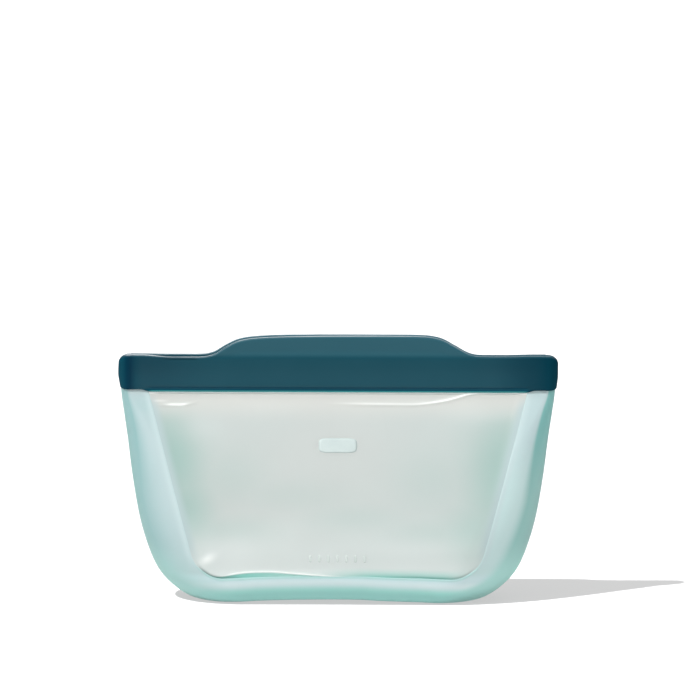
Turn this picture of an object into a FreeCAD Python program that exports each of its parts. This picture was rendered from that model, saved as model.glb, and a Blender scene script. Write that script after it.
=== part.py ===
import FreeCAD, Part
import Sketcher
import math
import os
from FreeCAD import Placement, Rotation, Vector as V

# Reusable silicone food bag, standing, mouth closed.
# Millimetres. +X along the mouth, -Y towards the front wall, +Z up.
# Origin: centre of the footprint, on the surface that the bag stands on.
#
# The bag is one translucent moulding (base, two side gussets, two thin walls) with a
# darker closure over its mouth: a front lip and a rear lip that meet at two end hinges.
# Each lip bends when the mouth opens. It is divided at two knuckles into a centre and
# two sides, each with its own length of stiffener and seal, so that a straight closed
# lip becomes the three straight lengths of an open mouth.

doc = FreeCAD.newDocument("SiliconeBag")
sheet = doc.addObject("Spreadsheet::Sheet", "Dims")
VALUES = {}
_row = [0]


def dim(alias, value, note=""):
    _row[0] += 1
    n = _row[0]
    sheet.set("A%d" % n, alias)
    sheet.set("B%d" % n, repr(float(value)))
    sheet.set("C%d" % n, note)
    sheet.setAlias("B%d" % n, alias)
    VALUES[alias] = float(value)


# ---- closure
dim("rim_half", 98.0, "half the length of the closure, end to end")
dim("rim_low", 92.0, "underside of the closure")
dim("skirt_top", 97.0, "top of the recess behind the lip's skirt")
dim("rim_high", 108.6, "top of the closure beside the tab")
dim("tab_high", 117.4, "top of the pull tab")
dim("tab_foot_half", 61.0, "half length of the tab at its foot")
dim("tab_top_half", 34.0, "half length of the tab's flat top")
dim("tab_curve", 22.9, "radius of both curves of the tab's shoulder")
dim("tab_front", 4.45, "tab's outer face from the mid plane")
dim("tab_back", 0.45, "tab's inner face from the mid plane")
dim("lip_out", 5.15, "lip's outer face from the mid plane")
dim("lip_in", 0.15, "lip's inner face from the mid plane")
dim("lip_axis", 2.65, "knuckle axis from the mid plane")
dim("skirt_in", 3.85, "skirt's inner face from the mid plane")
dim("lip_end", 92.0, "outer end of a side lip")
dim("knuckle_at", 46.0, "knuckle axis from the centre")
dim("knuckle_ball", 2.5, "radius of the side lip's rounded end")
dim("knuckle_socket", 2.65, "radius of the centre lip's socket")
# ---- stiffener
dim("stiff_out", 4.0, "")
dim("stiff_in", 3.1, "")
dim("stiff_low", 98.2, "")
dim("stiff_high", 107.2, "")
dim("stiff_room", 0.05, "clearance round the stiffener")
# ---- seal
dim("rib_low", 99.5, "")
dim("rib_high", 105.5, "")
dim("rib_root", 1.0, "depth of the rib strip's back from the mid plane")
dim("rib_tip", 1.3, "reach of the ribs past the mid plane")
dim("rib_a", 101.0, "height of the lower rib")
dim("rib_b", 104.0, "height of the upper rib")
dim("rib_half", 0.6, "half height of a rib")
dim("track_low", 99.0, "")
dim("track_high", 106.0, "")
dim("track_back", 2.45, "")
dim("groove_half", 0.85, "half height of a groove")
dim("groove_floor", 1.6, "")
dim("strip_gap", 0.05, "clearance between a strip and its seat")
dim("centre_strip_half", 43.0, "half length of the centre strips")
dim("side_strip_near", 48.5, "")
dim("side_strip_far", 91.5, "")
# ---- end hinge
dim("end_near", 92.35, "inner face of the end hinge")
dim("end_low", 91.9, "")
dim("end_round", 3.2, "")
# ---- moulding
dim("gusset_thick", 2.2, "wall of the side gussets")
dim("wall_set", 0.5, "how far the thin wall sits in from the outer surface")
dim("wall_back", 1.7, "inner face of the thin wall from the outer surface")
dim("pad_set", 0.15, "outer face of raised marks from the outer surface")
dim("body_top", 91.9, "")
dim("cut_top", 96.0, "")
dim("window_low", 10.0, "")
dim("window_low_half", 63.0, "")
dim("window_top", 94.0, "")
dim("window_top_half", 85.2, "")
dim("window_round", 15.0, "")
dim("window_gap", 0.4, "slot between thin wall and gusset frame")
dim("wall_step_half", 44.0, "half length of the part of a wall that tucks behind the lip")
dim("wall_step_z", 87.0, "top of a wall beside that part, below the side lips")
dim("base_split", 52.0, "where base gusset meets side gusset")
dim("foot_band", 4.5, "width of the standing ring")
dim("foot_lift", 0.8, "")
dim("patch_half_w", 8.5, "blank label patch")
dim("patch_half_h", 3.1, "")
dim("patch_z", 69.6, "")
dim("patch_round", 1.2, "")

SECTIONS = [  # height, half length, half depth of the moulding's outer surface
    (0.0, 60.0, 23.0),
    (2.4, 68.0, 26.6),
    (6.5, 74.2, 29.0),
    (13.0, 79.8, 30.5),
    (25.0, 84.9, 29.6),
    (40.0, 88.8, 25.6),
    (56.0, 91.6, 19.6),
    (72.0, 93.6, 12.6),
    (83.0, 95.3, 7.4),
    (91.9, 96.9, 3.3),
]
for i, (z, a, b) in enumerate(SECTIONS):
    dim("level%s" % "abcdefghij"[i] + "_z", z)
    dim("level%s" % "abcdefghij"[i] + "_x", a)
    dim("level%s" % "abcdefghij"[i] + "_y", b)
doc.recompute()

D = VALUES
TOOLS = []


def new_body(name, label=None):
    b = doc.addObject("PartDesign::Body", name)
    b.Label = label or name
    return b


def plane_of(body, role):
    return [f for f in body.Origin.OriginFeatures if f.Role == role][0]


def new_sketch(body, name, role, offset=V(0, 0, 0), turn=Rotation()):
    sk = body.newObject("Sketcher::SketchObject", name)
    sk.AttachmentSupport = [(plane_of(body, role), "")]
    sk.MapMode = "FlatFace"
    sk.AttachmentOffset = Placement(offset, turn)
    return sk


def named(sk, constraint, name, expression):
    i = sk.addConstraint(constraint)
    sk.renameConstraint(i, name)
    sk.setExpression("Constraints." + name, expression)
    return i


def stadium(body, name, z, a, b, ze, ae, be):
    """Closed outline with straight sides and round ends: half length a, half depth b."""
    sk = new_sketch(body, name, "XY_Plane", V(0, 0, z))
    sk.setExpression("AttachmentOffset.Base.z", ze)
    c = a - b
    l1 = sk.addGeometry(Part.LineSegment(V(-c, -b, 0), V(c, -b, 0)), False)
    r1 = sk.addGeometry(
        Part.ArcOfCircle(Part.Circle(V(c, 0, 0), V(0, 0, 1), b), -math.pi / 2, math.pi / 2), False
    )
    l2 = sk.addGeometry(Part.LineSegment(V(c, b, 0), V(-c, b, 0)), False)
    r2 = sk.addGeometry(
        Part.ArcOfCircle(Part.Circle(V(-c, 0, 0), V(0, 0, 1), b), math.pi / 2, 3 * math.pi / 2), False
    )
    sk.addConstraint(Sketcher.Constraint("Tangent", l1, 2, r1, 1))
    sk.addConstraint(Sketcher.Constraint("Tangent", r1, 2, l2, 1))
    sk.addConstraint(Sketcher.Constraint("Tangent", l2, 2, r2, 1))
    sk.addConstraint(Sketcher.Constraint("Tangent", r2, 2, l1, 1))
    sk.addConstraint(Sketcher.Constraint("Horizontal", l1))
    sk.addConstraint(Sketcher.Constraint("PointOnObject", r1, 3, -1))
    sk.addConstraint(Sketcher.Constraint("Symmetric", r1, 3, r2, 3, -1, 1))
    named(sk, Sketcher.Constraint("Radius", r1, b), "depth", be)
    named(sk, Sketcher.Constraint("DistanceX", r2, 3, r1, 3, 2 * c), "length", "2 * ((%s) - (%s))" % (ae, be))
    return sk


def envelope(name, inset, inset_expr, first=0, stretch=False):
    """Lofted solid inside the moulding's outer surface, inset by a wall thickness."""
    body = new_body(name)
    sketches = []
    for i in range(first, len(SECTIONS)):
        z, a, b = SECTIONS[i]
        k = "Dims.level" + "abcdefghij"[i]
        ze, ae, be = k + "_z", k + "_x", k + "_y"
        if inset_expr:
            ae, be = ae + " - " + inset_expr, be + " - " + inset_expr
        sketches.append(stadium(body, name + "_s%d" % i, z, a - inset, b - inset, ze, ae, be))
    if stretch:
        z, a, b = SECTIONS[-1]
        k = "Dims.levelj"
        sketches.append(
            stadium(body, name + "_top", D["cut_top"], a - inset, b - inset, "Dims.cut_top",
                    k + "_x - " + inset_expr, k + "_y - " + inset_expr)
        )
    loft = body.newObject("PartDesign::AdditiveLoft", name + "_loft")
    loft.Profile = sketches[0]
    loft.Sections = sketches[1:]
    loft.Ruled = False
    body.Tip = loft
    TOOLS.append(body)
    return body


def polygon(sk, points, close=True):
    """Straight outline through (x, y) points. Returns the geometry indices."""
    ids = []
    n = len(points)
    for i in range(n if close else n - 1):
        p, q = points[i], points[(i + 1) % n]
        ids.append(sk.addGeometry(Part.LineSegment(V(p[0], p[1], 0), V(q[0], q[1], 0)), False))
    for i in range(len(ids) - (0 if close else 1)):
        sk.addConstraint(Sketcher.Constraint("Coincident", ids[i], 2, ids[(i + 1) % len(ids)], 1))
    return ids


def axis_polygon(sk, points, exprs):
    """Outline whose sides are all level or upright; point i sits at exprs[i] = (x text, y text)."""
    ids = polygon(sk, points)
    n = len(points)
    for i in range(n):
        p, q = points[i], points[(i + 1) % n]
        kind = "Horizontal" if abs(p[1] - q[1]) < 1e-9 else "Vertical"
        sk.addConstraint(Sketcher.Constraint(kind, ids[i]))
    # Each level side gets its height once, and each upright side its place once.
    k = 0
    for i in range(n):
        p, q = points[i], points[(i + 1) % n]
        if abs(p[1] - q[1]) < 1e-9:
            c = Sketcher.Constraint("DistanceY", -1, 1, ids[i], 1, p[1])
            named(sk, c, "c%d" % k, exprs[i][1])
        else:
            c = Sketcher.Constraint("DistanceX", -1, 1, ids[i], 1, p[0])
            named(sk, c, "c%d" % k, exprs[i][0])
        k += 1
    return ids


def pad(body, name, sk, length, length_expr, midplane=False, reverse=False):
    p = body.newObject("PartDesign::Pad", name)
    p.Profile = sk
    p.Length = length
    if length_expr:
        p.setExpression("Length", length_expr)
    if midplane:
        p.Midplane = True
    p.Reversed = reverse
    body.Tip = p
    return p


def pocket(body, name, sk, length, midplane=False, reverse=False):
    p = body.newObject("PartDesign::Pocket", name)
    p.Profile = sk
    p.Length = length
    if midplane:
        p.Midplane = True
    p.Reversed = reverse
    body.Tip = p
    return p


def check(obj):
    bad = [s for s in obj.State if s in ("Invalid", "Error")]
    if bad or obj.Shape.isNull() or not obj.Shape.isValid():
        raise RuntimeError("failed: %s %s" % (obj.Label, obj.State))


# =============================================================== moulding
solid_outer = envelope("outer_envelope", 0.0, "")
solid_inner = envelope("gusset_inner_envelope", D["gusset_thick"], "Dims.gusset_thick", 1, True)
wall_outer = envelope("wall_outer_envelope", D["wall_set"], "Dims.wall_set", 1)
wall_inner = envelope("wall_inner_envelope", D["wall_back"], "Dims.wall_back", 1, True)
mark_outer = envelope("mark_outer_envelope", D["pad_set"], "Dims.pad_set", 1)


def window(name, side, gap, gap_expr):
    """Block through the front (-1) or rear (+1) wall with the outline of the thin wall."""
    body = new_body(name)
    sk = new_sketch(body, name + "_outline", "XZ_Plane")
    lo, hi = D["window_low"] + gap, D["window_top"]
    wl, wt = D["window_low_half"] - gap, D["window_top_half"] - gap
    ids = polygon(sk, [(-wl, lo), (wl, lo), (wt, hi), (-wt, hi)])
    sk.addConstraint(Sketcher.Constraint("Symmetric", ids[0], 1, ids[0], 2, -2))
    sk.addConstraint(Sketcher.Constraint("Symmetric", ids[2], 1, ids[2], 2, -2))
    named(sk, Sketcher.Constraint("DistanceX", ids[0], 1, ids[0], 2, 2 * wl), "low_width",
          "2 * (Dims.window_low_half - %s)" % gap_expr)
    named(sk, Sketcher.Constraint("DistanceX", ids[2], 2, ids[2], 1, 2 * wt), "top_width",
          "2 * (Dims.window_top_half - %s)" % gap_expr)
    named(sk, Sketcher.Constraint("DistanceY", -1, 1, ids[0], 1, lo), "low_edge",
          "Dims.window_low + %s" % gap_expr)
    named(sk, Sketcher.Constraint("DistanceY", -1, 1, ids[2], 1, hi), "top_edge", "Dims.window_top")
    # the sketch plane's normal is -Y
    p = pad(body, name + "_block", sk, 40.0, None, reverse=(side > 0))
    doc.recompute()
    corner = []
    for i, e in enumerate(p.Shape.Edges):
        v = e.Vertexes
        if len(v) == 2 and abs(v[0].Z - v[1].Z) < 1e-6 and abs(v[0].X - v[1].X) < 1e-6 and v[0].Z < lo + 1:
            corner.append("Edge%d" % (i + 1))
    f = body.newObject("PartDesign::Fillet", name + "_corners")
    f.Base = (p, corner)
    f.Radius = D["window_round"] - gap
    f.setExpression("Radius", "Dims.window_round - %s" % gap_expr)
    body.Tip = f
    body.Placement = Placement(V(0, 0.6 * side, 0), Rotation())
    TOOLS.append(body)
    return body


win_front = window("front_window", -1, 0.0, "0")
win_rear = window("rear_window", 1, 0.0, "0")
win_front_in = window("front_window_inner", -1, D["window_gap"], "Dims.window_gap")
win_rear_in = window("rear_window_inner", 1, D["window_gap"], "Dims.window_gap")


def boolean(kind, name, base, tools, label=None):
    o = doc.addObject("Part::" + kind, name)
    if kind in ("Cut", "Common"):
        o.Base, o.Tool = base, tools
    else:
        o.Shapes = [base] + list(tools)
    o.Label = label or name
    return o


def box(name, x0, x1, y0, y1, z0, z1):
    b = doc.addObject("Part::Box", name)
    b.Length, b.Width, b.Height = x1 - x0, y1 - y0, z1 - z0
    b.Placement = Placement(V(x0, y0, z0), Rotation())
    TOOLS.append(b)
    return b


shell = boolean("Cut", "moulding_shell", solid_outer, solid_inner)
windows = boolean("MultiFuse", "windows", win_front, [win_rear])
frame_cut = boolean("Cut", "gusset_frame", shell, windows)

# Standing ring: the base is lifted inside a band along its edge.
lift = new_body("foot_recess")
sk = stadium(lift, "foot_recess_outline", 0.0, SECTIONS[0][1] - D["foot_band"], SECTIONS[0][2] - D["foot_band"],
             "0", "Dims.levela_x - Dims.foot_band", "Dims.levela_y - Dims.foot_band")
pad(lift, "foot_recess_pad", sk, D["foot_lift"], "Dims.foot_lift")
TOOLS.append(lift)
frame_foot = boolean("Cut", "gusset_frame_footed", frame_cut, lift)

middle = box("base_region", -D["base_split"], D["base_split"], -60, 60, -5, 130)
middle.setExpression("Length", "2 * Dims.base_split")
middle.setExpression("Placement.Base.x", "-Dims.base_split")
left_region = box("left_region", -150, -D["base_split"], -60, 60, -5, 130)
left_region.setExpression("Length", "150 - Dims.base_split")
right_region = box("right_region", D["base_split"], 150, -60, 60, -5, 130)
right_region.setExpression("Length", "150 - Dims.base_split")
right_region.setExpression("Placement.Base.x", "Dims.base_split")

NODES = {}
NODES["base_gusset"] = boolean("Common", "base_gusset", frame_foot, middle)
NODES["left_side_gusset"] = boolean("Common", "left_side_gusset", frame_foot, left_region)
NODES["right_side_gusset"] = boolean("Common", "right_side_gusset", frame_foot, right_region)

thin = boolean("Cut", "thin_shell", wall_outer, wall_inner)
relief_left = box("wall_relief_left", -150, -D["wall_step_half"], -60, 60, D["wall_step_z"], 130)
relief_left.setExpression("Length", "150 - Dims.wall_step_half")
relief_left.setExpression("Placement.Base.z", "Dims.wall_step_z")
relief_right = box("wall_relief_right", D["wall_step_half"], 150, -60, 60, D["wall_step_z"], 130)
relief_right.setExpression("Length", "150 - Dims.wall_step_half")
relief_right.setExpression("Placement.Base.x", "Dims.wall_step_half")
relief_right.setExpression("Placement.Base.z", "Dims.wall_step_z")
reliefs = boolean("MultiFuse", "wall_reliefs", relief_left, [relief_right])
thin_cut = boolean("Cut", "thin_shell_relieved", thin, reliefs)
NODES["front_wall"] = boolean("Common", "front_wall", thin_cut, win_front_in)
NODES["rear_wall"] = boolean("Common", "rear_wall", thin_cut, win_rear_in)

# Raised marks on the front wall: a blank label patch and a row of plain level bars.
mark_shell = boolean("Cut", "mark_shell", mark_outer, wall_outer)
patch = new_body("label_patch_block")
sk = new_sketch(patch, "label_patch_outline", "XZ_Plane")
w, h, z = D["patch_half_w"], D["patch_half_h"], D["patch_z"]
ids = axis_polygon(
    sk,
    [(-w, z - h), (w, z - h), (w, z + h), (-w, z + h)],
    [("", "Dims.patch_z - Dims.patch_half_h"), ("Dims.patch_half_w", ""),
     ("", "Dims.patch_z + Dims.patch_half_h"), ("-Dims.patch_half_w", "")],
)
p = pad(patch, "label_patch_pad", sk, 40.0, None)
doc.recompute()
f = patch.newObject("PartDesign::Fillet", "label_patch_corners")
f.Base = (p, ["Edge%d" % (i + 1) for i, e in enumerate(p.Shape.Edges)
              if abs(e.Vertexes[0].Z - e.Vertexes[-1].Z) < 1e-6 and abs(e.Vertexes[0].X - e.Vertexes[-1].X) < 1e-6])
f.Radius = D["patch_round"]
f.setExpression("Radius", "Dims.patch_round")
patch.Tip = f
TOOLS.append(patch)
NODES["label_patch"] = boolean("Common", "label_patch", mark_shell, patch)

bars = []
for i in range(7):
    x = -12.0 + 4.0 * i
    tall = 3.4 if i % 3 == 0 else 2.0
    bars.append(box("level_bar_%d" % i, x - 0.35, x + 0.35, -40, -0.6, 19.0, 19.0 + tall))
bars_all = boolean("MultiFuse", "level_bars_block", bars[0], bars[1:])
NODES["level_bars"] = boolean("Common", "level_bars", mark_shell, bars_all)


# =============================================================== closure
def lip_blank(side, word):
    """Whole lip, end to end, before it is divided at the knuckles. side -1 is the front."""
    body = new_body(word + "_lip_blank")
    s = side
    # YZ_Plane: sketch x is Y, sketch y is Z, normal +X
    sk = new_sketch(body, word + "_lip_profile", "YZ_Plane")
    out, inn, sin = s * D["lip_out"], s * D["lip_in"], s * D["skirt_in"]
    so, si, ss = ("%s Dims.lip_out" % ("-" if s < 0 else ""), "%s Dims.lip_in" % ("-" if s < 0 else ""),
                  "%s Dims.skirt_in" % ("-" if s < 0 else ""))
    lo, mid, hi = D["rim_low"], D["skirt_top"], D["rim_high"]
    axis_polygon(
        sk,
        [(out, lo), (sin, lo), (sin, mid), (inn, mid), (inn, hi), (out, hi)],
        [("", "Dims.rim_low"), (ss, ""), ("", "Dims.skirt_top"), (si, ""), ("", "Dims.rim_high"), (so, "")],
    )
    pad(body, word + "_lip_bar", sk, 2 * D["lip_end"], "2 * Dims.lip_end", midplane=True)
    doc.recompute()
    # pull tab
    tk = new_sketch(body, word + "_tab_outline", "XZ_Plane")
    R = D["tab_curve"]
    xf, xt, zf, zt = D["tab_foot_half"], D["tab_top_half"], D["rim_high"], D["tab_high"]
    th = 2 * math.atan2(zt - zf, xf - xt)
    R = (xf - xt) / (2 * math.sin(th))
    zb = zf - 1.0
    # right side: foot curve (centre above the foot), shoulder curve (centre below the top)
    def arc(cx, cz, r, a0, a1):
        return tk.addGeometry(Part.ArcOfCircle(Part.Circle(V(cx, cz, 0), V(0, 0, 1), r), a0, a1), False)
    foot_r = arc(xf, zf + R, R, -math.pi / 2 - th, -math.pi / 2)
    top_r = arc(xt, zt - R, R, math.pi / 2 - th, math.pi / 2)
    foot_l = arc(-xf, zf + R, R, -math.pi / 2, -math.pi / 2 + th)
    top_l = arc(-xt, zt - R, R, math.pi / 2, math.pi / 2 + th)
    line = lambda a, b: tk.addGeometry(Part.LineSegment(V(a[0], a[1], 0), V(b[0], b[1], 0)), False)
    top = line((xt, zt), (-xt, zt))
    down_r = line((xf, zf), (xf, zb))
    low = line((xf, zb), (-xf, zb))
    down_l = line((-xf, zb), (-xf, zf))
    C = Sketcher.Constraint
    tk.addConstraint(C("Tangent", top_r, 2, top, 1))
    tk.addConstraint(C("Tangent", top, 2, top_l, 1))
    tk.addConstraint(C("Tangent", foot_r, 1, top_r, 1))
    tk.addConstraint(C("Tangent", foot_l, 2, top_l, 2))
    tk.addConstraint(C("Coincident", foot_r, 2, down_r, 1))
    tk.addConstraint(C("Coincident", down_r, 2, low, 1))
    tk.addConstraint(C("Coincident", low, 2, down_l, 1))
    tk.addConstraint(C("Coincident", down_l, 2, foot_l, 1))
    tk.addConstraint(C("Vertical", down_r))
    tk.addConstraint(C("Vertical", down_l))
    tk.addConstraint(C("Symmetric", top, 1, top, 2, -2))
    tk.addConstraint(C("Symmetric", low, 1, low, 2, -2))
    named(tk, C("DistanceX", top, 2, top, 1, 2 * xt), "top_length", "2 * Dims.tab_top_half")
    named(tk, C("DistanceX", low, 2, low, 1, 2 * xf), "foot_length", "2 * Dims.tab_foot_half")
    named(tk, C("DistanceY", -1, 1, top, 1, zt), "top_height", "Dims.tab_high")
    named(tk, C("DistanceY", -1, 1, down_r, 1, zf), "foot_height", "Dims.rim_high")
    named(tk, C("DistanceY", -1, 1, low, 1, zb), "root_height", "Dims.rim_high - 1")
    thick = D["tab_front"] - D["tab_back"]
    # the plane's normal is -Y: move the sketch to the tab's inner face, and pad outwards
    tk.AttachmentOffset = Placement(V(0, 0, -s * D["tab_back"] if s < 0 else -D["tab_front"]), Rotation())
    tk.AttachmentOffset = Placement(V(0, 0, D["tab_back"] if s < 0 else -D["tab_front"]), Rotation())
    tk.setExpression("AttachmentOffset.Base.z", "Dims.tab_back" if s < 0 else "-Dims.tab_front")
    pad(body, word + "_tab", tk, thick, "Dims.tab_front - Dims.tab_back")
    doc.recompute()
    # slot for the stiffener, through the whole length
    kk = new_sketch(body, word + "_stiffener_slot_outline", "YZ_Plane")
    g = D["stiff_room"]
    a, b = s * (D["stiff_out"] + g), s * (D["stiff_in"] - g)
    sign = "-1 *" if s < 0 else "1 *"
    axis_polygon(
        kk,
        [(a, D["stiff_low"] - g), (b, D["stiff_low"] - g), (b, D["stiff_high"] + g), (a, D["stiff_high"] + g)],
        [("", "Dims.stiff_low - Dims.stiff_room"), (sign + "(Dims.stiff_in - Dims.stiff_room)", ""),
         ("", "Dims.stiff_high + Dims.stiff_room"), (sign + "(Dims.stiff_out + Dims.stiff_room)", "")],
    )
    pocket(body, word + "_stiffener_slot", kk, 400.0, midplane=True)
    # seat for the rib strip (front) or the track (rear), open on the inner face
    mk = new_sketch(body, word + "_seal_seat_outline", "YZ_Plane")
    if s < 0:
        depth, zl, zh = D["rib_root"] + D["strip_gap"], D["rib_low"] - D["strip_gap"], D["rib_high"] + D["strip_gap"]
        de, zle, zhe = "Dims.rib_root + Dims.strip_gap", "Dims.rib_low - Dims.strip_gap", "Dims.rib_high + Dims.strip_gap"
    else:
        depth, zl, zh = D["track_back"] + D["strip_gap"], D["track_low"] - D["strip_gap"], D["track_high"] + D["strip_gap"]
        de, zle, zhe = "Dims.track_back + Dims.strip_gap", "Dims.track_low - Dims.strip_gap", "Dims.track_high + Dims.strip_gap"
    axis_polygon(
        mk,
        [(s * depth, zl), (0.0, zl), (0.0, zh), (s * depth, zh)],
        [("", zle), ("0", ""), ("", zhe), (sign + "(" + de + ")", "")],
    )
    pocket(body, word + "_seal_seat", mk, 400.0, midplane=True)
    doc.recompute()
    # soften the outer edges that run along the lip
    seated = body.Tip
    shape = seated.Shape
    edges = []
    for i, e in enumerate(shape.Edges):
        c = e.BoundBox
        long = c.XLength > 20
        outer_top = abs(c.YMin - out) < 1e-4 and abs(c.YMax - out) < 1e-4 and abs(c.ZMax - hi) < 1e-4 and c.ZLength < 1e-4
        outer_low = abs(c.YMin - out) < 1e-4 and abs(c.YMax - out) < 1e-4 and abs(c.ZMin - lo) < 1e-4 and c.ZLength < 1e-4
        if long and (outer_top or outer_low):
            edges.append("Edge%d" % (i + 1))
    if edges:
        fl = body.newObject("PartDesign::Fillet", word + "_lip_soft")
        fl.Base = (seated, edges)
        fl.Radius = 0.6
        body.Tip = fl
    TOOLS.append(body)
    return body


def cylinder(name, x, y, r, z0, z1):
    c = doc.addObject("Part::Cylinder", name)
    c.Radius, c.Height = r, z1 - z0
    c.Placement = Placement(V(x, y, z0), Rotation())
    TOOLS.append(c)
    return c


for s, word in ((-1, "front"), (1, "rear")):
    blank = lip_blank(s, word)
    sockets = []
    for sx, hand in ((-1, "left"), (1, "right")):
        k = D["knuckle_at"]
        name = "%s_%s" % (word, hand)
        x0, x1 = (-150.0, -k) if sx < 0 else (k, 150.0)
        # the side lip's own region: everything past the knuckle, plus its rounded end
        keep = box(name + "_keep_high", x0, x1, -30, 30, D["skirt_top"], 140)
        x0b, x1b = (-150.0, -k - 0.15) if sx < 0 else (k + 0.15, 150.0)
        keep_low = box(name + "_keep_low", x0b, x1b, -30, 30, 80, D["skirt_top"])
        ball = cylinder(name + "_rounded_end", sx * k, s * D["lip_axis"], D["knuckle_ball"], D["skirt_top"], 140)
        ball.setExpression("Radius", "Dims.knuckle_ball")
        region = boolean("MultiFuse", name + "_side_region", keep, [keep_low, ball])
        NODES["%s_lip_%s" % (word, hand)] = boolean("Common", "%s_lip_%s" % (word, hand), blank, region)
        past = box(name + "_past", x0, x1, -30, 30, 80, 140)
        socket = cylinder(name + "_socket", sx * k, s * D["lip_axis"], D["knuckle_socket"], 80, 140)
        socket.setExpression("Radius", "Dims.knuckle_socket")
        sockets += [past, socket]
    tool = boolean("MultiFuse", word + "_centre_limits", sockets[0], sockets[1:])
    NODES["%s_lip_centre" % word] = boolean("Cut", "%s_lip_centre" % word, blank, tool)


def strip(name, x0, x1, x0e, lene, points, exprs):
    """Straight strip along X with a level-and-upright profile in the YZ plane."""
    body = new_body(name)
    sk = new_sketch(body, name + "_profile", "YZ_Plane", V(0, 0, x0))
    sk.setExpression("AttachmentOffset.Base.z", x0e)
    axis_polygon(sk, points, exprs)
    pad(body, name + "_pad", sk, x1 - x0, lene)
    NODES[name] = body
    return body


cs, near, far = D["centre_strip_half"], D["side_strip_near"], D["side_strip_far"]
SPANS = {
    "centre": (-cs, cs, "-Dims.centre_strip_half", "2 * Dims.centre_strip_half"),
    "left": (-far, -near, "-Dims.side_strip_far", "Dims.side_strip_far - Dims.side_strip_near"),
    "right": (near, far, "Dims.side_strip_near", "Dims.side_strip_far - Dims.side_strip_near"),
}
for where, (x0, x1, x0e, lene) in SPANS.items():
    for s, word in ((-1, "front"), (1, "rear")):
        sign = "-1 *" if s < 0 else "1 *"
        a, b = s * D["stiff_out"], s * D["stiff_in"]
        strip(
            "%s_stiffener_%s" % (word, where), x0, x1, x0e, lene,
            [(a, D["stiff_low"]), (b, D["stiff_low"]), (b, D["stiff_high"]), (a, D["stiff_high"])],
            [("", "Dims.stiff_low"), (sign + "Dims.stiff_in", ""), ("", "Dims.stiff_high"), (sign + "Dims.stiff_out", "")],
        )
    # front: strip with two ribs that reach past the mid plane
    root, face, tip = -D["rib_root"], -D["lip_in"], D["rib_tip"]
    h = D["rib_half"]
    ra, rb = D["rib_a"], D["rib_b"]
    strip(
        "front_seal_rib_%s" % where, x0, x1, x0e, lene,
        [(root, D["rib_low"]), (face, D["rib_low"]), (face, ra - h), (tip, ra - h), (tip, ra + h), (face, ra + h),
         (face, rb - h), (tip, rb - h), (tip, rb + h), (face, rb + h), (face, D["rib_high"]), (root, D["rib_high"])],
        [("", "Dims.rib_low"), ("-Dims.lip_in", ""), ("", "Dims.rib_a - Dims.rib_half"), ("Dims.rib_tip", ""),
         ("", "Dims.rib_a + Dims.rib_half"), ("-Dims.lip_in", ""), ("", "Dims.rib_b - Dims.rib_half"), ("Dims.rib_tip", ""),
         ("", "Dims.rib_b + Dims.rib_half"), ("-Dims.lip_in", ""), ("", "Dims.rib_high"), ("-Dims.rib_root", "")],
    )
    # rear: track with two grooves that take the ribs
    back, face, floor = D["track_back"], D["lip_in"], D["groove_floor"]
    g = D["groove_half"]
    strip(
        "rear_seal_track_%s" % where, x0, x1, x0e, lene,
        [(back, D["track_low"]), (back, D["track_high"]), (face, D["track_high"]), (face, rb + g), (floor, rb + g),
         (floor, rb - g), (face, rb - g), (face, ra + g), (floor, ra + g), (floor, ra - g), (face, ra - g), (face, D["track_low"])],
        [("Dims.track_back", ""), ("", "Dims.track_high"), ("Dims.lip_in", ""), ("", "Dims.rib_b + Dims.groove_half"),
         ("Dims.groove_floor", ""), ("", "Dims.rib_b - Dims.groove_half"), ("Dims.lip_in", ""),
         ("", "Dims.rib_a + Dims.groove_half"), ("Dims.groove_floor", ""), ("", "Dims.rib_a - Dims.groove_half"),
         ("Dims.lip_in", ""), ("", "Dims.track_low")],
    )

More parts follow.
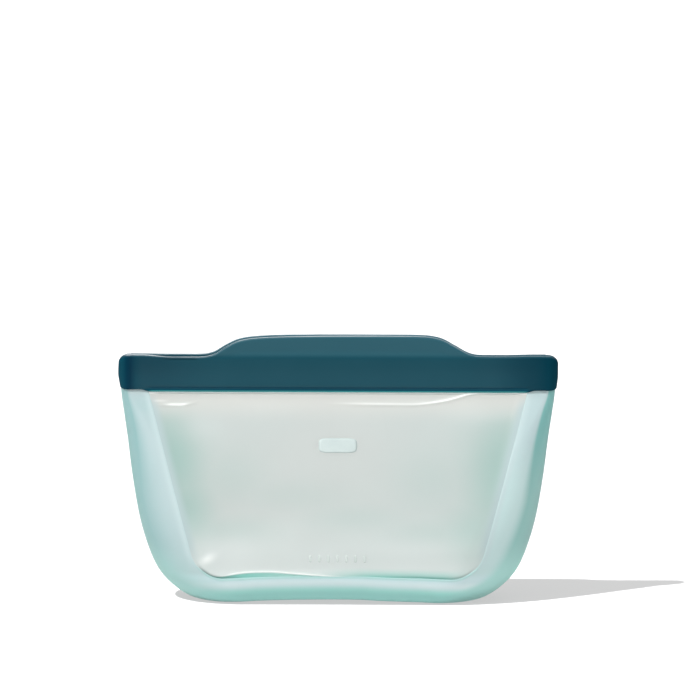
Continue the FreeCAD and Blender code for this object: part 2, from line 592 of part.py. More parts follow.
# End hinges: the fold of solid silicone where the two lips meet.
for sx, hand in ((-1, "left"), (1, "right")):
    name = "%s_end_hinge" % hand
    body = new_body(name)
    sk = new_sketch(body, name + "_plan", "XY_Plane", V(0, 0, D["end_low"]))
    sk.setExpression("AttachmentOffset.Base.z", "Dims.end_low")
    r = D["lip_out"]
    xn, xc = sx * D["end_near"], sx * (D["rim_half"] - r)
    C = Sketcher.Constraint
    a0, a1 = (math.pi / 2, 3 * math.pi / 2) if sx < 0 else (-math.pi / 2, math.pi / 2)
    arc = sk.addGeometry(Part.ArcOfCircle(Part.Circle(V(xc, 0, 0), V(0, 0, 1), r), a0, a1), False)
    ys, ye = (r, -r) if sx < 0 else (-r, r)
    l1 = sk.addGeometry(Part.LineSegment(V(xc, ye, 0), V(xn, ye, 0)), False)
    l2 = sk.addGeometry(Part.LineSegment(V(xn, ye, 0), V(xn, ys, 0)), False)
    l3 = sk.addGeometry(Part.LineSegment(V(xn, ys, 0), V(xc, ys, 0)), False)
    sk.addConstraint(C("Tangent", arc, 2, l1, 1))
    sk.addConstraint(C("Coincident", l1, 2, l2, 1))
    sk.addConstraint(C("Coincident", l2, 2, l3, 1))
    sk.addConstraint(C("Tangent", l3, 2, arc, 1))
    sk.addConstraint(C("Horizontal", l1))
    sk.addConstraint(C("Vertical", l2))
    sk.addConstraint(C("PointOnObject", arc, 3, -1))
    named(sk, C("Radius", arc, r), "half_thickness", "Dims.lip_out")
    named(sk, C("DistanceX", -1, 1, l2, 1, xn), "inner_face", ("-" if sx < 0 else "") + "Dims.end_near")
    named(sk, C("DistanceX", -1, 1, arc, 3, xc), "round_at",
          ("-1 * " if sx < 0 else "") + "(Dims.rim_half - Dims.lip_out)")
    p = pad(body, name + "_pad", sk, D["rim_high"] - D["end_low"], "Dims.rim_high - Dims.end_low")
    doc.recompute()
    edges = []
    for i, e in enumerate(p.Shape.Edges):
        bb = e.BoundBox
        if bb.ZLength < 1e-6 and abs(bb.ZMax - D["rim_high"]) < 1e-6 and bb.XLength > 0.3:
            edges.append("Edge%d" % (i + 1))
    f = body.newObject("PartDesign::Fillet", name + "_top")
    f.Base = (p, edges)
    f.Radius = 1.6
    body.Tip = f
    NODES[name] = body

doc.recompute()
failed = [o for o in doc.Objects if any(st in ("Invalid", "Error") for st in o.State)]
if failed:
    raise RuntimeError("failed objects: " + ", ".join("%s (%s)" % (o.Label, o.TypeId) for o in failed))
os.makedirs("parts", exist_ok=True)
for name in NODES:
    o = NODES[name]
    o.Label = name
    check(o)
    if not o.Shape.Solids:
        raise RuntimeError("no solid in " + name)
for name, o in NODES.items():
    o.Shape.exportStep("parts/%s.step" % name)
print("nodes", len(NODES), "volumes", {n: round(o.Shape.Volume, 1) for n, o in NODES.items()})
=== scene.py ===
import math

import bpy
import bmesh
import numpy as np
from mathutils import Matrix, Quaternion, Vector, noise


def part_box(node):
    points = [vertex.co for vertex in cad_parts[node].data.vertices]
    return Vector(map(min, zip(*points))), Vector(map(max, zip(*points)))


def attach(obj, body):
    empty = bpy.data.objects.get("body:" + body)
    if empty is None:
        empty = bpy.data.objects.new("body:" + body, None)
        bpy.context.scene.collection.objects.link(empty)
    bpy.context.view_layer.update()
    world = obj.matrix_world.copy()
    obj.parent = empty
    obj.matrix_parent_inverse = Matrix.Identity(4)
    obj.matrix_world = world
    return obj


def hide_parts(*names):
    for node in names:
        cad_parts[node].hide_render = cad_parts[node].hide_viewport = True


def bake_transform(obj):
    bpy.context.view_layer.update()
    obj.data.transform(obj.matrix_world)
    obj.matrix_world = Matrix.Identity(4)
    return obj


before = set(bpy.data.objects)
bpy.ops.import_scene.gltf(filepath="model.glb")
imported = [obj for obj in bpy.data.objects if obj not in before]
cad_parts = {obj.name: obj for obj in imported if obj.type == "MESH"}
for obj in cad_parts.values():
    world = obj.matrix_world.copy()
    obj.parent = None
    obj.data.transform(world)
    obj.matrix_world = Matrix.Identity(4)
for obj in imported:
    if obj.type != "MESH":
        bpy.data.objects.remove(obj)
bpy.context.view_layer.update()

MM = 0.001

# The closure's and the moulding's places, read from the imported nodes, in millimetres.
lo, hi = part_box("front_lip_centre")
TAB_TOP = hi.z / MM
RIM_LOW = lo.z / MM
LIP_OUT = -lo.y / MM
lo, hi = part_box("right_end_hinge")
RIM_END = hi.x / MM
END_NEAR = lo.x / MM
RIM_TOP = hi.z / MM
lo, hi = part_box("front_wall")
WALL_LOW = lo.z / MM
lo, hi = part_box("front_seal_rib_centre")
RIB_LOW, RIB_HIGH = lo.z / MM, hi.z / MM
lo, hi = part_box("rear_seal_track_centre")
TRACK_LOW, TRACK_HIGH = lo.z / MM, hi.z / MM
lo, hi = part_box("front_stiffener_centre")
STIFF_LOW, STIFF_HIGH = lo.z / MM, hi.z / MM
STIFF_OUT, STIFF_IN = -lo.y / MM, -hi.y / MM

# ------------------------------------------------------------------ curves
def pchip(xs, ys):
    """Smooth curve through the points that never overshoots them."""
    xs, ys = np.array(xs, float), np.array(ys, float)
    hgap = np.diff(xs)
    d = np.diff(ys) / hgap
    m = np.zeros(len(xs))
    m[0], m[-1] = d[0], d[-1]
    for i in range(1, len(xs) - 1):
        if d[i - 1] * d[i] > 0:
            w1, w2 = 2 * hgap[i] + hgap[i - 1], hgap[i] + 2 * hgap[i - 1]
            m[i] = (w1 + w2) / (w1 / d[i - 1] + w2 / d[i])

    def f(x):
        x = np.asarray(x, float)
        i = np.clip(np.searchsorted(xs, x, side="right") - 1, 0, len(xs) - 2)
        t = (x - xs[i]) / hgap[i]
        t = np.clip(t, 0.0, 1.0)
        h00, h10 = 2 * t**3 - 3 * t**2 + 1, t**3 - 2 * t**2 + t
        h01, h11 = -2 * t**3 + 3 * t**2, t**3 - t**2
        return h00 * ys[i] + h10 * hgap[i] * m[i] + h01 * ys[i + 1] + h11 * hgap[i] * m[i + 1]

    return f


def smooth(x, e0, e1):
    t = np.clip((np.asarray(x, float) - e0) / (e1 - e0), 0, 1)
    return t * t * (3 - 2 * t)


LEVELS = np.array([
    (0.0, 60.0, 23.0), (0.25, 63.4, 24.5), (1.0, 66.3, 25.7), (2.4, 69.0, 26.9), (4.2, 71.7, 28.1),
    (6.5, 74.5, 29.1), (9.5, 77.5, 29.9), (13.0, 80.1, 30.1), (18.0, 82.7, 30.1), (25.0, 85.3, 29.4),
    (32.0, 87.4, 27.9), (40.0, 89.2, 25.5), (56.0, 91.8, 19.7), (72.0, 93.8, 13.2), (83.0, 95.4, 8.4),
    (90.0, 96.4, 5.1), (92.0, 96.6, 4.45), (94.0, 96.8, 4.15), (97.0, 97.0, 4.0),
])
A_OF = pchip(LEVELS[:, 0], LEVELS[:, 1])
B_OF = pchip(LEVELS[:, 0], LEVELS[:, 2])


def depth_at(x, z, inset=0.0):
    """Half depth of the moulding's surface at (x, z), inset by a wall thickness."""
    a, b = A_OF(z) - inset, np.maximum(B_OF(z) - inset, 0.35)
    c = a - b
    d = np.clip(np.abs(x) - c, 0, None)
    return np.sqrt(np.clip(b * b - d * d, 0, None))


WIN_LOW = WALL_LOW + 0.7
WIN_LOW_HALF, WIN_TOP_HALF, WIN_TOP, WIN_R = 62.0, 85.4, 95.0, 16.0


def win_half(z):
    return WIN_LOW_HALF + (WIN_TOP_HALF - WIN_LOW_HALF) * (np.asarray(z, float) - WIN_LOW) / (WIN_TOP - WIN_LOW)


# The base band isn't quite straight: it lifts off the floor between its two ends.
SAG = pchip([-70, -55, -43.6, -34.7, -25.8, -16.8, 0, 10, 19, 28, 36.8, 45.8, 55, 70],
            [0, 0.15, 0.7, 1.3, 1.6, 1.8, 1.95, 1.85, 1.35, 1.05, 0.8, 0.3, 0.1, 0])


def lift(x, z):
    return SAG(np.clip(x, -70, 70)) * smooth(z, 26.0, 6.0)


# How much of the lip's motion a point of the lips or walls takes.
def open_x(x):
    return 1.0 - smooth(np.abs(x), 20.0, 89.0)


def open_wall(x, z):
    edge = np.maximum(win_half(z), 1.0)
    xi = np.abs(x) * WIN_TOP_HALF / edge
    g = np.clip((np.asarray(z, float) - WIN_LOW - 1.0) / (RIM_LOW - WIN_LOW - 1.0), 0, 1)
    g = g * (0.55 + 0.45 * smooth(g, 0.0, 0.7))
    return open_x(xi) * g


# ------------------------------------------------------------------ meshes
def make_object(name, verts, faces, material, attrs=None):
    mesh = bpy.data.meshes.new(name)
    mesh.from_pydata([tuple(v) for v in (np.asarray(verts) * MM)], [], faces)
    bm = bmesh.new()
    bm.from_mesh(mesh)
    if attrs is None:
        bmesh.ops.remove_doubles(bm, verts=bm.verts, dist=1e-6)
        bmesh.ops.dissolve_degenerate(bm, dist=1e-7, edges=bm.edges)
    bmesh.ops.recalc_face_normals(bm, faces=bm.faces)
    bm.to_mesh(mesh)
    bm.free()
    mesh.polygons.foreach_set("use_smooth", [True] * len(mesh.polygons))
    for key, values in (attrs or {}).items():
        a = mesh.attributes.new(key, "FLOAT", "POINT")
        a.data.foreach_set("value", np.asarray(values, np.float32))
    mesh.update()
    obj = bpy.data.objects.new(name, mesh)
    bpy.context.scene.collection.objects.link(obj)
    mesh.materials.append(material)
    return obj


def grid_faces(nu, nv, base=0, flip=False, wrap_u=False, wrap_v=False):
    faces = []
    for i in range(nu if wrap_u else nu - 1):
        i2 = (i + 1) % nu
        for j in range(nv if wrap_v else nv - 1):
            j2 = (j + 1) % nv
            f = (base + i * nv + j, base + i2 * nv + j, base + i2 * nv + j2, base + i * nv + j2)
            faces.append(f[::-1] if flip else f)
    return faces


def sheet_faces(nu, nv):
    """Closed sheet made of two nu by nv grids, joined round their edges."""
    n = nu * nv
    faces = grid_faces(nu, nv) + grid_faces(nu, nv, n, True)
    rim = [i * nv for i in range(nu)] + [(nu - 1) * nv + j for j in range(1, nv)]
    rim += [i * nv + nv - 1 for i in range(nu - 2, -1, -1)] + [j for j in range(nv - 2, 0, -1)]
    for k in range(len(rim)):
        a, b = rim[k], rim[(k + 1) % len(rim)]
        faces.append((a, a + n, b + n, b))
    return faces


def blended(obj, weights):
    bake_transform(obj)
    return obj


def coords(obj):
    co = np.zeros(len(obj.data.vertices) * 3)
    obj.data.vertices.foreach_get("co", co)
    return co.reshape(-1, 3) / MM


def resample(points, n, power=1.0):
    """n points along a polyline, evenly by length."""
    points = np.asarray(points, float)
    seg = np.linalg.norm(np.diff(points, axis=0), axis=1)
    s = np.concatenate([[0], np.cumsum(seg)])
    t = np.linspace(0, 1, n) ** power * s[-1]
    return np.stack([np.interp(t, s, points[:, k]) for k in range(points.shape[1])], axis=1)


def wave(x, z, scale, seed, octaves=2):
    x, z = np.broadcast_arrays(np.asarray(x, float), np.asarray(z, float))
    out = np.empty(x.shape)
    for i in np.ndindex(x.shape):
        out[i] = noise.fractal(Vector((x[i] / scale + seed * 7.3, z[i] / scale, seed * 3.1)), 1.0, 2.0, octaves)
    return out


# ------------------------------------------------------------------ materials
def lin(r, g, b, k=1.0):
    f = lambda c: (c / 255 / 12.92 if c / 255 <= 0.04045 else ((c / 255 + 0.055) / 1.055) ** 2.4) * k
    return (f(r), f(g), f(b), 1.0)


class Nodes:
    def __init__(self, name):
        self.mat = bpy.data.materials.new(name)
        self.mat.use_nodes = True
        self.tree = self.mat.node_tree
        self.tree.nodes.clear()
        self.out = self.tree.nodes.new("ShaderNodeOutputMaterial")
        self.pos = self.new("ShaderNodeTexCoord").outputs["Object"]

    def new(self, kind, **values):
        n = self.tree.nodes.new(kind)
        for k, v in values.items():
            setattr(n, k, v)
        return n

    def link(self, a, b):
        self.tree.links.new(a, b)

    def put(self, socket, value):
        if isinstance(value, bpy.types.NodeSocket):
            self.link(value, socket)
        else:
            socket.default_value = value

    def math(self, op, a, b=0.0, clamp=False):
        n = self.new("ShaderNodeMath", operation=op, use_clamp=clamp)
        self.put(n.inputs[0], a)
        self.put(n.inputs[1], b)
        return n.outputs[0]

    def ramp(self, value, a, b, interpolation="SMOOTHSTEP", lo=0.0, hi=1.0):
        n = self.new("ShaderNodeMapRange", interpolation_type=interpolation)
        self.put(n.inputs["Value"], value)
        n.inputs["From Min"].default_value, n.inputs["From Max"].default_value = a, b
        n.inputs["To Min"].default_value, n.inputs["To Max"].default_value = lo, hi
        return n.outputs["Result"]

    def mix(self, fac, a, b):
        n = self.new("ShaderNodeMix", data_type="RGBA")
        self.put(n.inputs["Factor"], fac)
        self.put(n.inputs["A"], a)
        self.put(n.inputs["B"], b)
        return n.outputs["Result"]

    def noise(self, scale, detail=2.0, rough=0.5, vector=None):
        n = self.new("ShaderNodeTexNoise")
        self.put(n.inputs["Vector"], vector or self.pos)
        n.inputs["Scale"].default_value = scale
        n.inputs["Detail"].default_value = detail
        n.inputs["Roughness"].default_value = rough
        return n.outputs["Fac"]

    def split(self):
        n = self.new("ShaderNodeSeparateXYZ")
        self.link(self.pos, n.inputs[0])
        return n.outputs[0], n.outputs[1], n.outputs[2]

    def attr(self, name):
        return self.new("ShaderNodeAttribute", attribute_name=name).outputs["Fac"]

    def facing(self):
        n = self.new("ShaderNodeLayerWeight")
        n.inputs["Blend"].default_value = 0.5
        return n.outputs["Facing"]

    def upness(self):
        n = self.new("ShaderNodeSeparateXYZ")
        self.link(self.new("ShaderNodeNewGeometry").outputs["Normal"], n.inputs[0])
        return n.outputs[2]

    def bump(self, height, strength, distance):
        n = self.new("ShaderNodeBump")
        self.put(n.inputs["Height"], height)
        n.inputs["Strength"].default_value = strength
        n.inputs["Distance"].default_value = distance
        return n.outputs["Normal"]

    def principled(self, **values):
        n = self.new("ShaderNodeBsdfPrincipled")
        for k, v in values.items():
            self.put(n.inputs[k.replace("_", " ")], v)
        return n


def closure_material():
    m = Nodes("closure_teal_silicone")
    x, y, z = m.split()
    deep, mid, light = lin(0, 52, 66), lin(2, 60, 73), lin(34, 78, 90)
    bead, notch_shade_lift, under = lin(0, 60, 76), lin(0, 62, 82), lin(60, 138, 140)
    ax = m.math("ABSOLUTE", x)
    # painted shade: the lips darken towards both ends where they turn away, darker still over the right end, with a
    # painted dark line where the left end web meets them; the left web's outermost part is painted back a little
    # lighter
    colour = m.mix(m.ramp(ax, 0.050, 0.090), mid, deep)
    colour = m.mix(m.math("MULTIPLY", m.ramp(z, 0.1040, 0.0960), 0.4), colour, lin(8, 66, 80))
    colour = m.mix(m.ramp(x, 0.0680, 0.0930), colour, lin(0, 46, 60))
    colour = m.mix(m.ramp(x, -0.0895, -0.0925), colour, lin(0, 42, 60))
    colour = m.mix(m.ramp(x, -0.0935, -0.0965), colour, lin(6, 58, 72))
    # painted light: the tab above the shoulder is painted paler, for the light its leaning face catches
    colour = m.mix(m.ramp(z, 0.1074, 0.1098), colour, light)
    low_line = m.math("MULTIPLY", m.ramp(ax, 0.0855, 0.0825), 1.0)
    # painted light: the band just above the notch under the bead is painted a paler, bluer teal, lifting the shade the
    # lip's overhang casts there
    colour = m.mix(m.math("MULTIPLY", m.ramp(z, (RIM_LOW + 2.9) * MM, (RIM_LOW + 2.3) * MM), low_line), colour, notch_shade_lift)
    colour = m.mix(m.math("MULTIPLY", m.ramp(z, (RIM_LOW + 2.1) * MM, (RIM_LOW + 1.7) * MM), low_line), colour, bead)
    # painted light: the bead's downward-facing underside is painted a pale teal glow against the shade it sits in
    colour = m.mix(m.math("MULTIPLY", m.ramp(z, (RIM_LOW + 1.15) * MM, (RIM_LOW + 0.75) * MM), low_line), colour, under)
    cloud = m.ramp(m.noise(30.0, 2.0), 0.3, 0.75, "LINEAR")
    colour = m.mix(m.math("MULTIPLY", cloud, 0.14), colour, light)
    rough = m.ramp(m.noise(90.0, 1.0), 0.3, 0.7, "LINEAR", lo=0.38, hi=0.44)
    fine = m.math("ADD", m.noise(2600.0, 2.0), m.math("MULTIPLY", m.noise(500.0, 2.0), 0.5))
    matte = m.ramp(m.facing(), 0.15, 0.75, lo=1.0, hi=0.12)
    gloss = m.math("MULTIPLY", matte, m.ramp(z, 0.1080, 0.0990, lo=0.21, hi=0.27))
    gloss = m.math("MULTIPLY", gloss, m.ramp(ax, 0.0860, 0.0950, lo=1.0, hi=0.15))
    gloss = m.math("MULTIPLY", gloss, m.ramp(x, 0.0640, 0.0900, lo=1.0, hi=0.4))
    gloss = m.math("MULTIPLY", gloss, m.ramp(z, 0.0932, 0.0940, lo=0.2, hi=1.0))
    top = m.math("MULTIPLY", m.ramp(m.upness(), 0.35, 0.95, lo=0.0, hi=0.32), m.ramp(x, 0.020, 0.060, lo=1.0, hi=0.3))
    top = m.math("MULTIPLY", top, m.ramp(y, 0.0006, -0.0004, lo=0.3, hi=1.0))
    gloss = m.math("ADD", gloss, m.math("MULTIPLY", top, m.ramp(ax, 0.0920, 0.0970, lo=1.0, hi=0.1)))
    cut = m.math("MULTIPLY", m.ramp(m.upness(), 0.5, 0.95), m.ramp(x, 0.0, 0.05, lo=0.35, hi=0.95))
    gloss = m.math("MULTIPLY", gloss, m.math("SUBTRACT", 1.0, cut))
    p = m.principled(Base_Color=colour, Roughness=rough, IOR=1.42, Specular_IOR_Level=gloss,
                     Normal=m.bump(fine, 0.14, 0.00012))
    m.link(p.outputs[0], m.out.inputs["Surface"])
    return m.mat


def border_material():
    m = Nodes("gusset_mint_silicone")
    x, y, z = m.split()
    z = m.attr("level")
    ax = m.math("ABSOLUTE", x)
    # painted light and shade: the border's right side gets its own colours, a lit and a shaded copy of one silicone for
    # light from the left; each side's colours also change from high to low
    right = m.ramp(x, 0.010, 0.080)
    height = m.ramp(z, 0.080, 0.045)
    inner = m.mix(right, lin(193, 209, 211), m.mix(height, lin(188, 207, 209), lin(208, 233, 231)))
    cloud = m.ramp(m.noise(9.0, 1.0, 0.5), 0.25, 0.75, "LINEAR")
    inner = m.mix(m.math("MULTIPLY", cloud, 0.5), inner, lin(190, 209, 211))
    teal = m.mix(right, lin(149, 186, 186), m.mix(height, lin(133, 190, 186), lin(150, 196, 191)))
    deep = m.mix(right, lin(132, 180, 176), m.mix(height, lin(106, 164, 159), lin(126, 176, 171)))
    # the thick base and its corners: painted light above, where the band faces up, and painted shade deeper towards the
    # floor, where it turns down; the right corner's deeper colours are painted paler against the shade there
    corner = m.ramp(z, 0.0300, 0.0120)
    teal = m.mix(corner, teal, m.mix(right, lin(166, 206, 202), lin(174, 218, 212)))
    deep = m.mix(corner, deep, m.mix(right, lin(150, 200, 193), lin(176, 228, 220)))
    inner = m.mix(m.ramp(z, 0.0150, 0.0115), inner, lin(208, 228, 231))
    inner = m.mix(m.ramp(z, 0.0108, 0.0085), inner, lin(219, 234, 236))
    inner = m.mix(m.ramp(z, 0.0082, 0.0048), inner, lin(162, 219, 211))
    inner = m.mix(m.ramp(z, 0.0056, 0.0028), inner, lin(145, 199, 192))
    teal = m.mix(m.ramp(z, 0.0080, 0.0025), teal, lin(152, 204, 198))
    # colour by how squarely the band faces the camera: pale where it faces it, teal and then deep teal where it turns
    # away, softer on the left and crisper on the right; partly the silicone's deeper colour seen through more of its
    # thickness, partly painted light and shade
    f = m.facing()
    turn = m.math("DIVIDE", f, m.ramp(z, 0.0960, 0.0450, "LINEAR", lo=0.035, hi=0.31))
    soft = m.ramp(turn, 0.0, 1.7, "LINEAR")
    crisp = m.ramp(turn, 0.65, 1.35)
    edge = m.mix(right, soft, crisp)
    colour = m.mix(edge, inner, teal)
    colour = m.mix(m.ramp(f, 0.45, 0.95), colour, deep)
    # painted highlight: a pale band on the border along the wall's side edges
    colour = m.mix(m.math("MULTIPLY", m.attr("rim"), 0.8), colour, lin(198, 216, 217))
    # painted shade: a darker teal band on the border along the wall's lower edge, painted against the highlight it
    # catches there
    colour = m.mix(m.math("MULTIPLY", m.attr("foot"), 0.55), colour, lin(146, 196, 190))
    fine = m.math("ADD", m.noise(2200.0, 2.0), m.math("MULTIPLY", m.noise(140.0, 2.0), 0.8))
    normal = m.bump(fine, 0.12, 0.00013)
    p = m.principled(Base_Color=colour, Roughness=m.ramp(m.noise(40.0, 1.0), 0.3, 0.7, lo=0.36, hi=0.44), IOR=1.41,
                     Specular_IOR_Level=0.42, Subsurface_Weight=0.25, Subsurface_Scale=0.003,
                     Subsurface_Radius=(0.8, 1.0, 1.0), Normal=normal)
    t = m.new("ShaderNodeBsdfTranslucent")
    m.put(t.inputs["Color"], colour)
    mixer = m.new("ShaderNodeMixShader")
    mixer.inputs[0].default_value = 0.25
    m.link(p.outputs[0], mixer.inputs[1])
    m.link(t.outputs[0], mixer.inputs[2])
    m.link(mixer.outputs[0], m.out.inputs["Surface"])
    return m.mat


def wall_material():
    m = Nodes("thin_wall_silicone")
    x, y, z = m.split()
    warm, cool, green, bright = lin(219, 220, 218), lin(210, 219, 217), lin(179, 206, 200), lin(231, 235, 234)
    cloud = m.ramp(m.noise(9.0, 1.0, 0.4), 0.25, 0.75, "LINEAR")
    colour = m.mix(cloud, warm, cool)
    # painted shade: greenish patches and a greenish band towards the side edges; painted light: pale patches
    colour = m.mix(m.attr("shade"), colour, green)
    colour = m.mix(m.attr("glow"), colour, bright)
    # painted light: the wall is painted paler and warmer just under the lip, and paler towards the bottom where it
    # curves under into shade
    colour = m.mix(m.math("MULTIPLY", m.ramp(z, 0.078, 0.090), 0.8), colour, lin(227, 226, 222))
    colour = m.mix(m.math("MULTIPLY", m.ramp(z, 0.046, 0.024), 0.5), colour, lin(232, 237, 235))
    colour = m.mix(m.math("MULTIPLY", m.ramp(z, 0.023, 0.014), 0.45), colour, lin(248, 251, 250))
    # teal in the folds: partly the thicker silicone seen there, partly painted shade
    colour = m.mix(m.attr("tint"), colour, lin(150, 216, 206))
    # painted highlight: a pale band along the wall's side edges
    colour = m.mix(m.attr("rim"), colour, lin(202, 218, 220))
    # painted highlights: white along the ridges, the fold's crest, the lip's edge and the dimple
    colour = m.mix(m.attr("gleam"), colour, lin(255, 255, 253))
    # painted shade in the crease
    colour = m.mix(m.attr("crease"), colour, lin(96, 134, 130))
    # greener where the wall turns away from the camera: partly the silicone seen through more of its thickness, partly
    # painted shade
    f = m.facing()
    colour = m.mix(m.ramp(f, 0.35, 0.95), colour, lin(165, 200, 195))
    normal = m.bump(m.noise(2200.0, 2.0), 0.10, 0.00014)
    # the painted highlights also glow a little through emission
    p = m.principled(Base_Color=colour, Roughness=m.ramp(m.noise(12.0, 1.0), 0.3, 0.7, "LINEAR", lo=0.30, hi=0.36), IOR=1.41,
                     Specular_IOR_Level=0.5, Normal=normal, Emission_Color=(1, 1, 1, 1),
                     Emission_Strength=m.math("MULTIPLY", m.attr("gleam"), 0.15))
    t = m.new("ShaderNodeBsdfTranslucent")
    m.put(t.inputs["Color"], colour)
    g = m.new("ShaderNodeBsdfTransparent")
    m.put(g.inputs["Color"], m.mix(0.4, (1, 1, 1, 1), colour))
    mix1 = m.new("ShaderNodeMixShader")
    mix1.inputs[0].default_value = 0.36
    m.link(p.outputs[0], mix1.inputs[1])
    m.link(t.outputs[0], mix1.inputs[2])
    mix2 = m.new("ShaderNodeMixShader")
    m.put(mix2.inputs[0], m.math("MULTIPLY", m.math("SUBTRACT", 1.0, m.attr("gleam")), 0.15))
    m.link(mix1.outputs[0], mix2.inputs[1])
    m.link(g.outputs[0], mix2.inputs[2])
    m.link(mix2.outputs[0], m.out.inputs["Surface"])
    return m.mat


def patch_material():
    m = Nodes("raised_mark_silicone")
    cloud = m.ramp(m.noise(180.0, 2.0), 0.3, 0.7)
    colour = m.mix(cloud, lin(174, 186, 185), lin(179, 191, 189))
    p = m.principled(Base_Color=colour, Roughness=m.ramp(m.noise(400.0), 0.3, 0.7, lo=0.4, hi=0.52), IOR=1.41,
                     Specular_IOR_Level=0.4, Normal=m.bump(m.noise(3000.0, 2.0), 0.18, 0.0001))
    m.link(p.outputs[0], m.out.inputs["Surface"])
    return m.mat


def bars_material():
    m = Nodes("level_bar_silicone")
    cloud = m.ramp(m.noise(120.0, 2.0), 0.3, 0.7)
    colour = m.mix(cloud, lin(184, 193, 190), lin(190, 198, 195))
    p = m.principled(Base_Color=colour, Roughness=m.ramp(m.noise(400.0), 0.3, 0.7, lo=0.4, hi=0.5), IOR=1.41,
                     Specular_IOR_Level=0.4, Normal=m.bump(m.noise(3000.0, 2.0), 0.18, 0.0001))
    m.link(p.outputs[0], m.out.inputs["Surface"])
    return m.mat


def seal_material():
    m = Nodes("seal_silicone")
    cloud = m.ramp(m.noise(60.0, 2.0), 0.3, 0.7)
    colour = m.mix(cloud, lin(40, 100, 112), lin(64, 122, 132))
    p = m.principled(Base_Color=colour, Roughness=m.ramp(m.noise(300.0), 0.3, 0.7, lo=0.3, hi=0.42), IOR=1.42,
                     Specular_IOR_Level=0.5, Normal=m.bump(m.noise(2400.0, 2.0), 0.12, 0.0001))
    m.link(p.outputs[0], m.out.inputs["Surface"])
    return m.mat


def stiffener_material():
    m = Nodes("stiffener_plastic")
    cloud = m.ramp(m.noise(90.0, 3.0), 0.3, 0.7)
    colour = m.mix(cloud, lin(206, 210, 208), lin(222, 225, 223))
    p = m.principled(Base_Color=colour, Roughness=m.ramp(m.noise(500.0), 0.3, 0.7, lo=0.42, hi=0.58),
                     Normal=m.bump(m.noise(1800.0, 2.0), 0.15, 0.0001))
    m.link(p.outputs[0], m.out.inputs["Surface"])
    return m.mat


CLOSURE, BORDER, WALL = closure_material(), border_material(), wall_material()
PATCH, BARS, SEAL, STIFF = patch_material(), bars_material(), seal_material(), stiffener_material()


# ------------------------------------------------------------------ thick border
def window_path(n_low, n_turn, n_side):
    """Right half of the wall's outline, from the middle of its lower edge to its top."""
    slope = (WIN_TOP_HALF - WIN_LOW_HALF) / (WIN_TOP - WIN_LOW)
    lean = math.atan(slope)
    turn = math.pi / 2 - lean
    cz = WIN_LOW + WIN_R
    # centre of the corner: WIN_R above the lower edge and WIN_R inside the slanted edge
    cx = win_half(cz) - WIN_R / math.cos(lean)
    low = [(cx * i / n_low, WIN_LOW) for i in range(n_low)]
    arc = []
    for i in range(n_turn):
        a = -math.pi / 2 + turn * i / n_turn
        arc.append((cx + WIN_R * math.cos(a), cz + WIN_R * math.sin(a)))
    a = -math.pi / 2 + turn
    sx, sz = cx + WIN_R * math.cos(a), cz + WIN_R * math.sin(a)
    side = [(sx + (WIN_TOP_HALF - sx) * i / (n_side - 1), sz + (WIN_TOP - sz) * i / (n_side - 1)) for i in range(n_side)]
    return np.array(low + arc + side), len(low), len(low) + len(arc)


def edge_path(floor, inset, top):
    """Right half of the moulding's outline in the middle plane, from the centre of the base upwards."""
    z = np.concatenate([floor + (np.linspace(0, 1, 200) ** 2) * 12.0, np.linspace(floor + 12.2, top, 200)])
    x = A_OF(z) - inset
    flat = np.linspace(0, x[0], 120, endpoint=False)
    return np.concatenate([np.stack([flat, np.full(120, floor)], 1), np.stack([x, z], 1)]), 120


def rows_of(E, k1, k2, floor, inset, ns, top):
    edge, flat = edge_path(floor, inset, top)
    seg = np.concatenate([[0], np.cumsum(np.linalg.norm(np.diff(edge, axis=0), axis=1))])
    se = np.concatenate([[0], np.cumsum(np.linalg.norm(np.diff(E, axis=0), axis=1))])
    where_z = lambda z: np.interp(z, edge[flat:, 1], seg[flat:])
    keys_e = [0, se[k1], 0.5 * (se[k1] + se[k2]), se[k2], se[-1]]
    keys_m = [0, min(E[k1][0] + 1.5, edge[flat][0] - 3.0), where_z(5.5), where_z(19.0), seg[-1]]
    place = pchip(keys_e, keys_m)(se)
    M = np.stack([np.interp(place, seg, edge[:, 0]), np.interp(place, seg, edge[:, 1])], 1)
    rows = []
    q = np.linspace(0, 1, 160)
    r = 1 - (1 - q) ** 2
    for (xe, ze), (xm, zm) in zip(E, M):
        x, z = xe + r * (xm - xe), ze + r * (zm - ze)
        yy = depth_at(x, z, inset)
        line = np.stack([x, -yy, z], 1)
        if yy[-1] > 1e-3:
            drop = np.linspace(yy[-1], 0, 60)[1:]
            line = np.concatenate([line, np.stack([np.full(59, xm), -drop, np.full(59, zm)], 1)])
        line[-1, 1] = 0.0
        rows.append(resample(line, ns))
    return np.array(rows)


